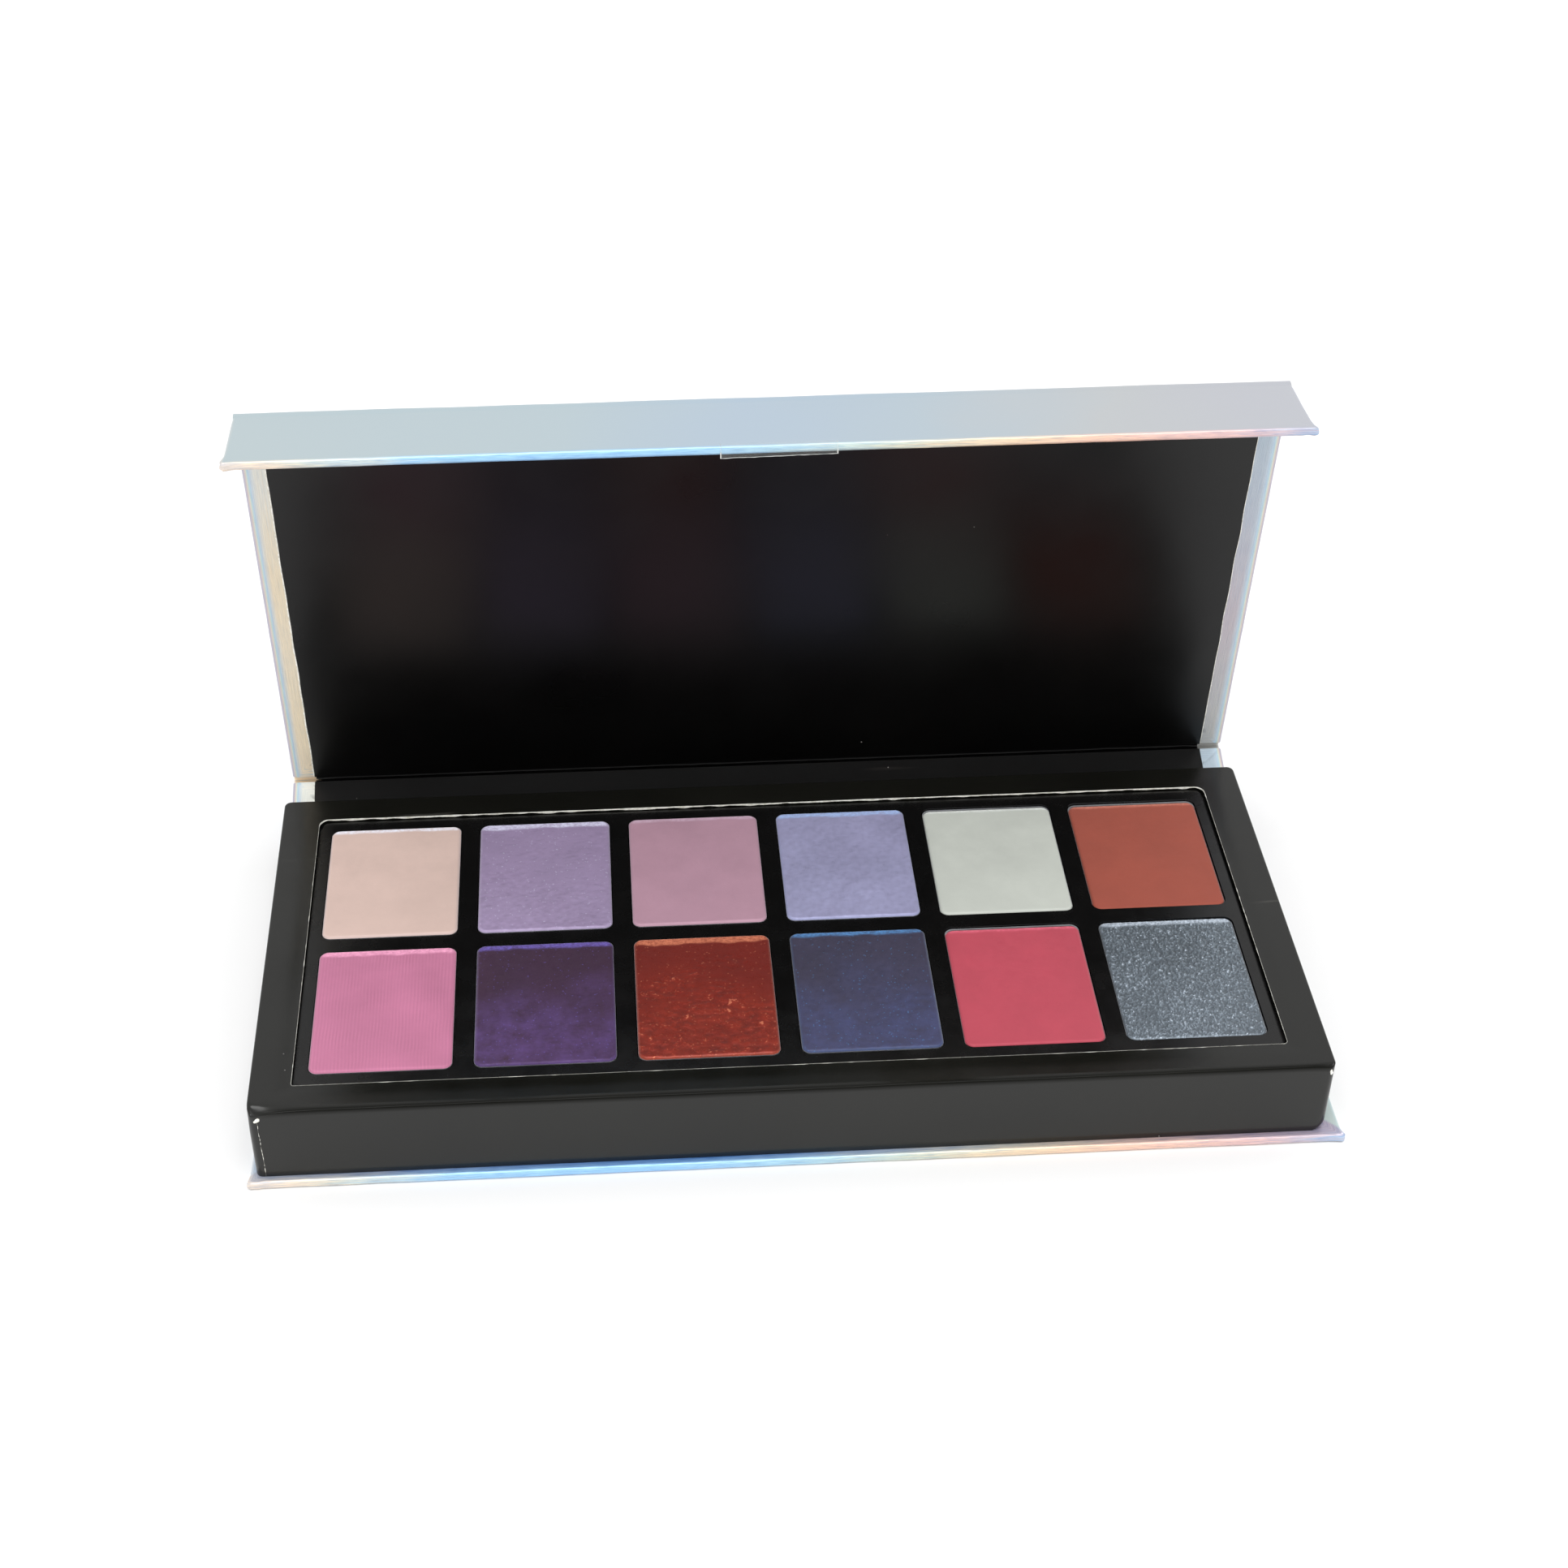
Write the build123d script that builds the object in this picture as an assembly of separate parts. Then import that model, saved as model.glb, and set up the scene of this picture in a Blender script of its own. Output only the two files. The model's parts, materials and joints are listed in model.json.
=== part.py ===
from build123d import *
import os

# Eyeshadow palette: a hard book-style cover of four wrapped boards (base, spine, lid and front
# flap) with a paper-covered tray glued to the base board. The tray holds twelve pressed powders
# in metal pans. Origin: centre of the base board's underside. +X runs along the palette, -Y is
# the front, +Z is up. All lengths are millimetres, all angles degrees.

# Cover boards and papers
grey_board = 1.36
cover_paper = 0.15
lining_paper = 0.13
lining_margin = 4.2  # width of cover paper that shows round the lining
corner_radius = 0.7
hinge_slack = 0.25  # room between two boards folded to a right angle
tab_clearance = 0.05  # hinge paper stops this far short of the fold
lid_clearance = 0.7  # closed lid above the tray
flap_gap = 0.8  # closed flap in front of the base board
floor_gap = 0.35  # closed flap above the surface the palette rests on
side_overhang = 1.9  # cover beyond the tray at each side
front_overhang = 1.4
back_overhang = 0.6

# Opening of each fold in the modelled pose, measured from boards lying flat
spine_tilt = 19.0
lid_fold = 78.0
flap_fold = 79.0

# Tray
tray_height = 14.4
tray_shift = -0.9  # the tray is glued a little left of the cover's middle
tray_wall = 2.0
tray_paper = 0.15
top_card = 0.8
tray_edge_radius = 0.7
tray_corner_radius = 1.2
frame_x = 6.6  # top face between the window and the tray's sides
frame_y = 5.55
window_radius = 1.6

# Insert and pans
insert_clearance = 0.2
insert_gap = 0.05  # insert panel's rim below the top card
insert_depth = 0.6  # raised middle of the insert panel below the tray's top
slot_x = 0.65  # open slot between the raised middle and the window
slot_y = 0.25
border_x = 2.425  # insert panel that shows between the pans and the window
border_y = 2.925
floor_card = 1.0
columns = 6
rows = 2
pan_width = 22.8
pan_length = 28.9
pan_gap_x = 3.43
pan_gap_y = 3.45
pan_height = 3.5
pan_metal = 0.3
pan_radius = 1.5
pan_clearance = 0.15
rim_rise = 0.05  # pan's rim above the insert panel
glue_thickness = 0.1
glue_radius = 4.0
powder_rise = 0.4  # powder above the pan's rim
powder_bevel = 0.3
pan_drop = {"back_5": 0.3, "back_6": 0.45, "front_5": 0.3, "front_6": 0.4}  # pans seated lower

# Magnets that hold the flap shut
magnet_radius = 4.0
magnet_thickness = 1.1
magnet_clearance = 0.1
magnet_spacing = 100.0
magnet_reach = 9.0  # from the flap's fold to the magnet's centre

# Clear tape left on the flap's free edge
tape_width = 19.0
tape_thickness = 0.06
tape_length = 1.3
tape_overhang = 0.25
tape_shift = 1.6  # right of the flap's middle

# Values worked out from the ones above
panel = cover_paper + grey_board + lining_paper
window_width = columns * pan_width + (columns - 1) * pan_gap_x + 2 * border_x
window_depth = rows * pan_length + (rows - 1) * pan_gap_y + 2 * border_y
tray_width = window_width + 2 * frame_x
tray_depth = window_depth + 2 * frame_y
cover_width = tray_width + 2 * side_overhang
base_depth = tray_depth + front_overhang + back_overhang
half_gap = panel + hinge_slack
spine_pitch = 2 * panel + tray_height + lid_clearance
lid_pitch = base_depth + half_gap + flap_gap + panel
flap_length = spine_pitch - floor_gap
tray_y = base_depth / 2 - back_overhang - tray_depth / 2
tray_top = panel + tray_height
card_top = tray_top - tray_paper
wall_top = card_top - top_card
box_width = tray_width - 2 * tray_paper
box_depth = tray_depth - 2 * tray_paper
inner_width = box_width - 2 * tray_wall
inner_depth = box_depth - 2 * tray_wall
tallest_drop = max(pan_drop.values())
insert_thickness = pan_height + glue_thickness + tallest_drop - rim_rise
insert_top = tray_top - insert_depth
insert_rim_top = wall_top - insert_gap
insert_bottom = insert_top - insert_thickness
floor_bottom = insert_bottom - floor_card
magnet_z = spine_pitch - magnet_reach


def slab(width, y_low, y_high, z_low, z_high, radius=0.0):
    """A flat block centred on x 0, with its upright edges rounded."""
    block = Pos(0, (y_low + y_high) / 2, (z_low + z_high) / 2) * Box(
        width, y_high - y_low, z_high - z_low
    )
    if radius > 0:
        block = fillet(block.edges().filter_by(Axis.Z), radius)
    return block


def wrapped_panel(y_low, y_high, lining_low, lining_high):
    """Board, cover paper and lining of one panel, drawn flat with its outer face on z 0."""
    outer = slab(cover_width, y_low, y_high, 0, panel, corner_radius)
    board = slab(
        cover_width - 2 * cover_paper,
        y_low + cover_paper,
        y_high - cover_paper,
        cover_paper,
        cover_paper + grey_board,
        corner_radius - cover_paper,
    )
    lining = slab(
        cover_width - 2 * lining_margin,
        lining_low,
        lining_high,
        cover_paper + grey_board,
        panel,
    )
    return board, outer - board - lining, lining


def hinge_tab(panel_edge, side):
    """The doubled paper from a panel's edge nearly to the fold at distance half_gap."""
    stop = cover_paper + lining_paper + tab_clearance
    ends = sorted((panel_edge, panel_edge + side * (half_gap - stop)))
    return slab(cover_width - 2 * corner_radius, ends[0], ends[1], 0, cover_paper + lining_paper)


def magnet_spots():
    """Each magnet's side and its x."""
    return [("left", -magnet_spacing / 2), ("right", magnet_spacing / 2)]


def disc(radius, height):
    """A disc that stands on z 0."""
    return Cylinder(radius, height, align=(Align.CENTER, Align.CENTER, Align.MIN))


def pan_names():
    """Name and centre of every pan, back row first, left to right."""
    pitch_x = pan_width + pan_gap_x
    pitch_y = pan_length + pan_gap_y
    found = []
    for row, label in enumerate(("back", "front")[:rows]):
        for column in range(columns):
            x = (column - (columns - 1) / 2) * pitch_x
            y = tray_y + ((rows - 1) / 2 - row) * pitch_y
            found.append((f"{label}_{column + 1}", x, y))
    return found


def rounded_block(width, length, height, radius):
    """A block that stands on z 0 with rounded upright edges."""
    block = Box(width, length, height, align=(Align.CENTER, Align.CENTER, Align.MIN))
    return fillet(block.edges().filter_by(Axis.Z), radius)


def cover_base():
    front = -base_depth / 2
    back = base_depth / 2
    board, wrap, lining = wrapped_panel(front, back, front + lining_margin, back)
    return {
        "base_board": board,
        "base_wrap": wrap,
        "base_liner": lining,
        "base_hinge_tab": hinge_tab(back, 1),
    }


def cover_spine():
    near = half_gap
    far = spine_pitch - half_gap
    board, wrap, lining = wrapped_panel(near, far, near, far)
    tabs = Compound(children=[hinge_tab(near, -1), hinge_tab(far, 1)])
    return {
        "spine_board": board,
        "spine_wrap": wrap,
        "spine_liner": lining,
        "spine_hinge_tabs": tabs,
    }


def cover_lid():
    near = half_gap
    far = lid_pitch - half_gap
    board, wrap, lining = wrapped_panel(near, far, near, far)
    tabs = Compound(children=[hinge_tab(near, -1), hinge_tab(far, 1)])
    return {
        "lid_board": board,
        "lid_wrap": wrap,
        "lid_liner": lining,
        "lid_hinge_tabs": tabs,
    }


def cover_flap():
    near = half_gap
    board, wrap, lining = wrapped_panel(near, flap_length, near, flap_length - lining_margin)
    pocket_floor = cover_paper + grey_board - magnet_thickness
    magnets = {}
    for side, x in magnet_spots():
        spot = Pos(x, magnet_reach, pocket_floor)
        board -= spot * disc(magnet_radius + magnet_clearance, magnet_thickness)
        magnets["flap_magnet_" + side] = spot * disc(magnet_radius, magnet_thickness)
    tape = slab(
        tape_width,
        flap_length + tape_overhang - tape_length,
        flap_length + tape_overhang,
        -tape_thickness,
        0,
    )
    return {
        "flap_board": board,
        "flap_wrap": wrap,
        "flap_liner": lining,
        "flap_hinge_tab": hinge_tab(near, -1),
        "seal_tape": Pos(tape_shift, 0, 0) * tape,
        **magnets,
    }


def tray_box():
    """Four wall boards, the top card with its window, and the black paper over them."""
    front = tray_y - box_depth / 2
    back = tray_y + box_depth / 2
    inner_front = front + tray_wall
    inner_back = back - tray_wall
    front_wall = slab(box_width, front, inner_front, panel, wall_top)
    back_wall = slab(box_width, inner_back, back, panel, wall_top)
    side = Pos(0, tray_y, (panel + wall_top) / 2) * Box(tray_wall, inner_depth, wall_top - panel)
    side_x = (box_width - tray_wall) / 2

    magnets = {}
    for name, x in magnet_spots():
        spot = Pos(x, front, magnet_z) * Rot(-90, 0, 0)
        front_wall -= spot * disc(magnet_radius + magnet_clearance, magnet_thickness)
        magnets["tray_magnet_" + name] = spot * disc(magnet_radius, magnet_thickness)

    window = Pos(0, tray_y, wall_top) * rounded_block(
        window_width, window_depth, tray_top - wall_top, window_radius
    )
    card = slab(box_width, front, back, wall_top, card_top) - window

    outer = Pos(0, tray_y, panel) * rounded_block(
        tray_width, tray_depth, tray_height, tray_corner_radius
    )
    outer = fillet(outer.faces().sort_by(Axis.Z)[-1].edges(), tray_edge_radius)
    core = slab(box_width, front, back, panel, card_top, tray_corner_radius - tray_paper)
    core = fillet(core.faces().sort_by(Axis.Z)[-1].edges(), tray_edge_radius - tray_paper)
    paper = outer - core - window
    return {
        "tray_front_wall": front_wall & core,
        "tray_back_wall": back_wall & core,
        "tray_left_wall": Pos(-side_x, 0, 0) * side,
        "tray_right_wall": Pos(side_x, 0, 0) * side,
        "tray_top_card": card & core,
        "tray_wrap": paper,
        **magnets,
    }


def insert_parts():
    """The panel with a raised middle and a hole for every pan, the card floor, and the riser."""
    width = inner_width - 2 * insert_clearance
    depth = inner_depth - 2 * insert_clearance
    front = tray_y - depth / 2
    back = tray_y + depth / 2
    holes = rounded_block(
        pan_width + 2 * pan_clearance,
        pan_length + 2 * pan_clearance,
        insert_thickness,
        pan_radius + pan_clearance,
    )
    holed = slab(width, front, back, insert_bottom, insert_rim_top)
    holed += Pos(0, tray_y, insert_rim_top) * rounded_block(
        window_width - 2 * slot_x,
        window_depth - 2 * slot_y,
        insert_top - insert_rim_top,
        window_radius - slot_y,
    )
    for name, x, y in pan_names():
        holed -= Pos(x, y, insert_bottom) * holes
    return {
        "insert_panel": holed,
        "insert_floor": slab(width, front, back, floor_bottom, insert_bottom),
        "insert_riser": slab(width, front, back, panel, floor_bottom),
    }


def pans_and_powders():
    """Every metal pan, the powder pressed into it, and the glue under it."""
    parts = {}
    glue = []
    for name, x, y in pan_names():
        # A pan seated lower has less glue under it.
        glue_height = glue_thickness + tallest_drop - pan_drop.get(name, 0.0)
        floor = insert_bottom + glue_height
        pan = rounded_block(pan_width, pan_length, pan_height, pan_radius)
        hollow = rounded_block(
            pan_width - 2 * pan_metal,
            pan_length - 2 * pan_metal,
            pan_height - pan_metal,
            pan_radius - pan_metal,
        )
        cake = rounded_block(pan_width, pan_length, powder_rise, pan_radius)
        cake = chamfer(cake.faces().sort_by(Axis.Z)[-1].edges(), powder_bevel)
        parts[f"pan_{name}"] = Pos(x, y, floor) * (pan - Pos(0, 0, pan_metal) * hollow)
        parts[f"powder_{name}"] = Pos(x, y, floor) * (
            Pos(0, 0, pan_metal) * hollow + Pos(0, 0, pan_height) * cake
        )
        glue.append(Pos(x, y, insert_bottom) * disc(glue_radius, glue_height))
    parts["pan_glue"] = Compound(children=glue)
    return parts


# Place of the tray, and of each panel at its fold line
tray_place = Pos(tray_shift, 0, 0)
spine_place = Pos(0, base_depth / 2 + half_gap, 0) * Rot(spine_tilt, 0, 0)
lid_place = spine_place * Pos(0, spine_pitch, 0) * Rot(lid_fold, 0, 0)
flap_place = lid_place * Pos(0, lid_pitch, 0) * Rot(flap_fold, 0, 0)

groups = (
    (Pos(0, 0, 0), cover_base()),
    (tray_place, {**tray_box(), **insert_parts(), **pans_and_powders()}),
    (spine_place, cover_spine()),
    (lid_place, cover_lid()),
    (flap_place, cover_flap()),
)
parts = {name: place * shape for place, group in groups for name, shape in group.items()}

os.makedirs("parts", exist_ok=True)
for name, shape in parts.items():
    export_step(shape, f"parts/{name}.step")

for label, place in (("spine", spine_place), ("lid", lid_place), ("flap", flap_place)):
    point = place.position
    print(label, "fold line y", round(point.Y, 3), "z", round(point.Z, 3))
print(len(parts), "nodes, closed height", round(spine_pitch, 2))
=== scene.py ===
import json
import math

import bpy
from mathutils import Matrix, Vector, noise


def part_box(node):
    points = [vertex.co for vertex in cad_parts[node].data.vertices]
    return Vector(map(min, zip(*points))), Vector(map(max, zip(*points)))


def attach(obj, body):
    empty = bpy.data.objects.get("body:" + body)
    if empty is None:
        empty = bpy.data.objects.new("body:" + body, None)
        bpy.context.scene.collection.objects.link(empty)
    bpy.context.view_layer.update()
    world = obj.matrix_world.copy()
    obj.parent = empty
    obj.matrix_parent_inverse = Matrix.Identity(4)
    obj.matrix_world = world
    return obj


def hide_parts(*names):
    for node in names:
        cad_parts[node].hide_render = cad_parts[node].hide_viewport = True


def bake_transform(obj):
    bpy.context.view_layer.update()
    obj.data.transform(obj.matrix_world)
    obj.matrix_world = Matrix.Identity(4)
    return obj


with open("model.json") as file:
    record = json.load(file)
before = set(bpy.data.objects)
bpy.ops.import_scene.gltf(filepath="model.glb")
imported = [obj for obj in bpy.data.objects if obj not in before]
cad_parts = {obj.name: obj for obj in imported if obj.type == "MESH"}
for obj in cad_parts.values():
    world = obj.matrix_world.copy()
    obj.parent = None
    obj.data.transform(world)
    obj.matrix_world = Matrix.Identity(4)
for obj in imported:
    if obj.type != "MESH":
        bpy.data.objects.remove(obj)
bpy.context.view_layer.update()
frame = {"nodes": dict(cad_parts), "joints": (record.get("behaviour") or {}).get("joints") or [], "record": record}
record = frame["record"]
mm = 0.001
scene = bpy.context.scene


# small tools

def srgb(r, g, b):
    # eye colour 0..255 to the linear colour that a shader wants
    out = []
    for v in (r, g, b):
        v = v / 255
        out.append(v / 12.92 if v <= 0.04045 else ((v + 0.055) / 1.055) ** 2.4)
    return (*out, 1.0)


def smooth(t):
    t = max(0.0, min(1.0, t))
    return t * t * (3 - 2 * t)


def wobble(x, y=0.0, z=0.0):
    return noise.noise(Vector((x, y, z)))


def makeObject(name, verts, faces, mat, attrs=None, smoothShade=True):
    mesh = bpy.data.meshes.new(name)
    mesh.from_pydata(verts, [], faces)
    mesh.update()
    for key, (kind, values) in (attrs or {}).items():
        layer = mesh.attributes.new(key, kind, "POINT")
        field = "vector" if kind == "FLOAT_VECTOR" else "value"
        flat = [c for v in values for c in v] if kind == "FLOAT_VECTOR" else values
        layer.data.foreach_set(field, flat)
    if smoothShade:
        mesh.polygons.foreach_set("use_smooth", [True] * len(mesh.polygons))
    mesh.materials.append(mat)
    obj = bpy.data.objects.new(name, mesh)
    scene.collection.objects.link(obj)
    return obj


def sharpen(obj, degrees=35):
    # keeps flat faces flat beside the rounded edges
    for edge in obj.data.edges:
        edge.use_edge_sharp = False
    obj.data.set_sharp_from_angle(angle=math.radians(degrees))


# places from the frame

joints = {j["name"]: j for j in frame["joints"]}


class Panel:
    # a cover board's own axes: x along it, s away from its fold, h from its outer face inward
    def __init__(self, body, origin, degrees):
        self.body = body
        self.origin = Vector(origin)
        self.degrees = degrees
        a = math.radians(degrees)
        self.along = Vector((0, math.cos(a), math.sin(a)))
        self.inward = Vector((0, -math.sin(a), math.cos(a)))

    def at(self, x, s, h):
        return self.origin + Vector((x, 0, 0)) + self.along * s + self.inward * h


def restFold(name):
    # the modelled pose, counted from boards lying flat
    return -joints[name]["range_deg"][0]


spineTilt = restFold("spine_hinge")
lidFold = restFold("lid_hinge")
flapFold = restFold("flap_hinge")
panels = {
    "base": Panel("base", (0, 0, 0), 0),
    "spine": Panel("spine", joints["spine_hinge"]["pos_m"], spineTilt),
    "lid": Panel("lid", joints["lid_hinge"]["pos_m"], spineTilt + lidFold),
    "flap": Panel("flap", joints["flap_hinge"]["pos_m"], spineTilt + lidFold + flapFold),
}

baseLow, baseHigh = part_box("base_wrap")
boardThick = baseHigh.z - baseLow.z
halfWidth = (baseHigh.x - baseLow.x) / 2
halfGap = panels["spine"].origin.y - baseHigh.y
spineSpan = (panels["lid"].origin - panels["spine"].origin).length
lidSpan = (panels["flap"].origin - panels["lid"].origin).length


def reachOf(node, panel):
    # furthest point of a node along its panel
    verts = frame["nodes"][node].data.vertices
    return max((v.co - panel.origin).dot(panel.along) for v in verts)


flapReach = reachOf("flap_wrap", panels["flap"])
linLow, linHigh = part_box("lid_liner")
liningHalf = (linHigh.x - linLow.x) / 2
trayLow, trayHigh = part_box("tray_wrap")
panelRects = {  # s range, and whether each end is a free edge
    "base": (baseLow.y, baseHigh.y, True, False),
    "spine": (halfGap, spineSpan - halfGap, False, False),
    "lid": (halfGap, lidSpan - halfGap, False, False),
    "flap": (halfGap, flapReach, False, True),
}
print("frame read: board", round(boardThick / mm, 2), "mm, half gap", round(halfGap / mm, 2), "mm")


# camera and light

cameraSet = {
    "place": (-26.861 * mm, -320.091 * mm, 296.243 * mm),
    "turn": (51.3191, 0.1994, -3.2702),
    "lens": 57.843,
    "sensor": 36.0,
    "shift": (0.0362, 0.0231),
    "clipStart": 10 * mm,
}


def makeCamera(c):
    data = bpy.data.cameras.new("studioCamera")
    data.lens = c["lens"]
    data.sensor_width = c["sensor"]
    data.shift_x, data.shift_y = c["shift"]
    data.clip_start = c["clipStart"]
    cam = bpy.data.objects.new("studioCamera", data)
    cam.location = c["place"]
    cam.rotation_euler = [math.radians(a) for a in c["turn"]]
    scene.collection.objects.link(cam)
    scene.camera = cam


makeCamera(cameraSet)

lightSet = {
    "worldStrength": 0.92,
    "overhead": {"strength": 1.5, "angle": 40, "turn": (18, -1.5, 0)},
    "floorHalf": 16.0,
    "floorColor": (0.885, 0.885, 0.885, 1),
    "floorRough": 0.9,
    "floorSpec": 0.1,
}


def makeLight(c):
    world = bpy.data.worlds.new("whiteRoom")
    scene.world = world
    world.use_nodes = True
    back = world.node_tree.nodes["Background"]
    back.inputs["Color"].default_value = (1, 1, 1, 1)
    back.inputs["Strength"].default_value = c["worldStrength"]
    data = bpy.data.lights.new("overheadSoft", "SUN")
    data.energy = c["overhead"]["strength"]
    data.angle = math.radians(c["overhead"]["angle"])
    lamp = bpy.data.objects.new("overheadSoft", data)
    lamp.rotation_euler = [math.radians(a) for a in c["overhead"]["turn"]]
    scene.collection.objects.link(lamp)
    h = c["floorHalf"]
    floorMat = bpy.data.materials.new("paleFloor")
    floorMat.use_nodes = True
    shader = floorMat.node_tree.nodes["Principled BSDF"]
    shader.inputs["Base Color"].default_value = c["floorColor"]
    shader.inputs["Roughness"].default_value = c["floorRough"]
    shader.inputs["Specular IOR Level"].default_value = c["floorSpec"]
    corners = [(-h, -h, 0), (h, -h, 0), (h, h, 0), (-h, h, 0)]
    floor = makeObject("floor", corners, [(0, 1, 2, 3)], floorMat, smoothShade=False)
    scene.view_settings.view_transform = "Standard"
    scene.view_settings.look = "None"


makeLight(lightSet)
print("camera and light ready")


# material tools

class Shade:
    # a node tree with short calls for what the finishes share
    def __init__(self, name):
        self.mat = bpy.data.materials.new(name)
        self.mat.use_nodes = True
        self.tree = self.mat.node_tree
        self.bsdf = self.tree.nodes["Principled BSDF"]
        coords = self.tree.nodes.new("ShaderNodeTexCoord")
        self.place = coords.outputs["Object"]

    def link(self, a, b):
        self.tree.links.new(a, b)

    def set(self, **values):
        names = {
            "rough": "Roughness", "metal": "Metallic", "spec": "Specular IOR Level",
            "coat": "Coat Weight", "coatRough": "Coat Roughness",
            "sheen": "Sheen Weight", "sheenRough": "Sheen Roughness",
        }
        for key, value in values.items():
            self.bsdf.inputs[names[key]].default_value = value

    def scaled(self, vector, scale):
        node = self.tree.nodes.new("ShaderNodeMapping")
        node.inputs["Scale"].default_value = scale
        self.link(vector, node.inputs["Vector"])
        return node.outputs["Vector"]

    def attribute(self, name, output="Fac"):
        node = self.tree.nodes.new("ShaderNodeAttribute")
        node.attribute_name = name
        return node.outputs[output]

    def noise(self, vector, scale, detail=3.0, rough=0.55):
        node = self.tree.nodes.new("ShaderNodeTexNoise")
        node.inputs["Scale"].default_value = scale
        node.inputs["Detail"].default_value = detail
        node.inputs["Roughness"].default_value = rough
        self.link(vector, node.inputs["Vector"])
        return node.outputs["Fac"]

    def cells(self, vector, scale, output="Distance"):
        node = self.tree.nodes.new("ShaderNodeTexVoronoi")
        node.inputs["Scale"].default_value = scale
        self.link(vector, node.inputs["Vector"])
        return node.outputs[output]

    def ramp(self, fac, stops):
        node = self.tree.nodes.new("ShaderNodeValToRGB")
        band = node.color_ramp
        while len(band.elements) < len(stops):
            band.elements.new(0.5)
        for element, (place, color) in zip(band.elements, stops):
            element.position = place
            element.color = color
        self.link(fac, node.inputs["Fac"])
        return node.outputs["Color"]

    def step(self, fac, low, high, fromZero=0.0, toOne=1.0):
        node = self.tree.nodes.new("ShaderNodeMapRange")
        limits = {"From Min": low, "From Max": high, "To Min": fromZero, "To Max": toOne}
        for key, value in limits.items():
            node.inputs[key].default_value = value
        self.link(fac, node.inputs["Value"])
        return node.outputs["Result"]

    def math(self, kind, a, b):
        node = self.tree.nodes.new("ShaderNodeMath")
        node.operation = kind
        for socket, value in zip(node.inputs, (a, b)):
            if isinstance(value, (int, float)):
                socket.default_value = value
            else:
                self.link(value, socket)
        return node.outputs["Value"]

    def mix(self, fac, a, b, kind="MIX"):
        node = self.tree.nodes.new("ShaderNodeMix")
        node.data_type = "RGBA"
        node.blend_type = kind
        sockets = (node.inputs["Factor"], node.inputs[6], node.inputs[7])
        for socket, value in zip(sockets, (fac, a, b)):
            if isinstance(value, (int, float, tuple)):
                socket.default_value = value
            else:
                self.link(value, socket)
        return node.outputs[2]

    def color(self, socket):
        self.link(socket, self.bsdf.inputs["Base Color"])

    def rough(self, socket):
        self.link(socket, self.bsdf.inputs["Roughness"])

    def bump(self, height, distance, strength=1.0, after=None):
        node = self.tree.nodes.new("ShaderNodeBump")
        node.inputs["Distance"].default_value = distance
        node.inputs["Strength"].default_value = strength
        self.link(height, node.inputs["Height"])
        if after is not None:
            self.link(after, node.inputs["Normal"])
        self.link(node.outputs["Normal"], self.bsdf.inputs["Normal"])
        return node.outputs["Normal"]


# foil paper of the cover

# ramps of eye colours; places run from 0 to 1. They hold the foil's own pastel tint together with its rainbow play
# as seen from one side, which is painted reflection colour fixed on the surface
foilSet = {
    "rough": 0.34,
    "metal": 0.25,
    "coat": 0.35,
    "coatRough": 0.22,
    "face": [  # flap face, left to right
        (0.0, (171, 185, 189)), (0.3, (168, 184, 191)), (0.47, (164, 181, 196)),
        (0.62, (167, 182, 192)), (0.76, (177, 181, 184)), (1.0, (176, 178, 186)),
    ],
    "sweep": [  # wide faces
        (0.0, (186, 201, 206)), (0.18, (176, 196, 216)), (0.34, (196, 188, 212)),
        (0.5, (219, 196, 200)), (0.66, (222, 212, 186)), (0.82, (190, 212, 200)),
        (1.0, (184, 200, 210)),
    ],
    "edge": [  # wrapped edges, left to right; brighter than the faces, partly the foil's colour and partly painted highlight where the rounded edges catch light
        (0.0, (216, 210, 208)), (0.05, (238, 220, 200)), (0.1, (214, 216, 204)),
        (0.2, (160, 208, 242)), (0.38, (156, 206, 246)), (0.5, (172, 212, 232)),
        (0.6, (206, 214, 200)), (0.7, (240, 214, 182)), (0.8, (242, 200, 180)),
        (0.9, (226, 190, 188)), (0.965, (192, 188, 204)), (1.0, (162, 192, 222)),
    ],
    "margin": [  # inner margins: left one up to 0.5, right one above
        (0.0, (226, 230, 226)), (0.1, (228, 226, 214)), (0.2, (236, 222, 194)),
        (0.32, (240, 228, 204)), (0.42, (246, 230, 200)), (0.499, (240, 222, 196)),
        (0.501, (176, 194, 206)), (0.66, (182, 190, 202)), (0.8, (192, 184, 192)),
        (0.92, (190, 190, 192)), (1.0, (188, 188, 184)),
    ],
    "ledge": [  # inner ledge of the base; its darker blues are partly painted shade and reflection from the dark tray beside it
        (0.0, (168, 170, 180)), (0.1, (150, 160, 180)), (0.2, (112, 146, 196)),
        (0.42, (84, 132, 196)), (0.5, (132, 166, 210)), (0.6, (166, 176, 190)),
        (0.7, (190, 188, 176)), (0.8, (190, 164, 160)), (0.9, (160, 146, 164)),
        (1.0, (166, 160, 180)),
    ],
    "band": [  # outer stretch of the margins, from the lining outward
        (0.0, (206, 216, 224)), (0.28, (186, 210, 228)), (0.42, (192, 218, 222)),
        (0.54, (222, 222, 206)), (0.66, (216, 202, 196)), (0.8, (182, 176, 192)),
        (1.0, (170, 168, 182)),
    ],
    "linedColor": srgb(7, 7, 7),
    "driftScale": 28.0,
    "drift": 0.05,  # how far clouds and streaks push the colour along its ramp
    "streakAlong": 0.09,
    "streakAcross": 3.2,
    "streakDepth": 0.00006,
    "fine": 900.0,
    "fineDepth": 0.000004,
    "streakMix": {"edge": 0.9, "margin": 0.3},
    "streakTones": [(0.34, (0.56, 0.66, 0.84, 1)), (0.5, (1, 1, 1, 1)), (0.66, (1.3, 1.24, 1.14, 1))],
}


def tones(stops):
    return [(place, srgb(*color)) for place, color in stops]


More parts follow.
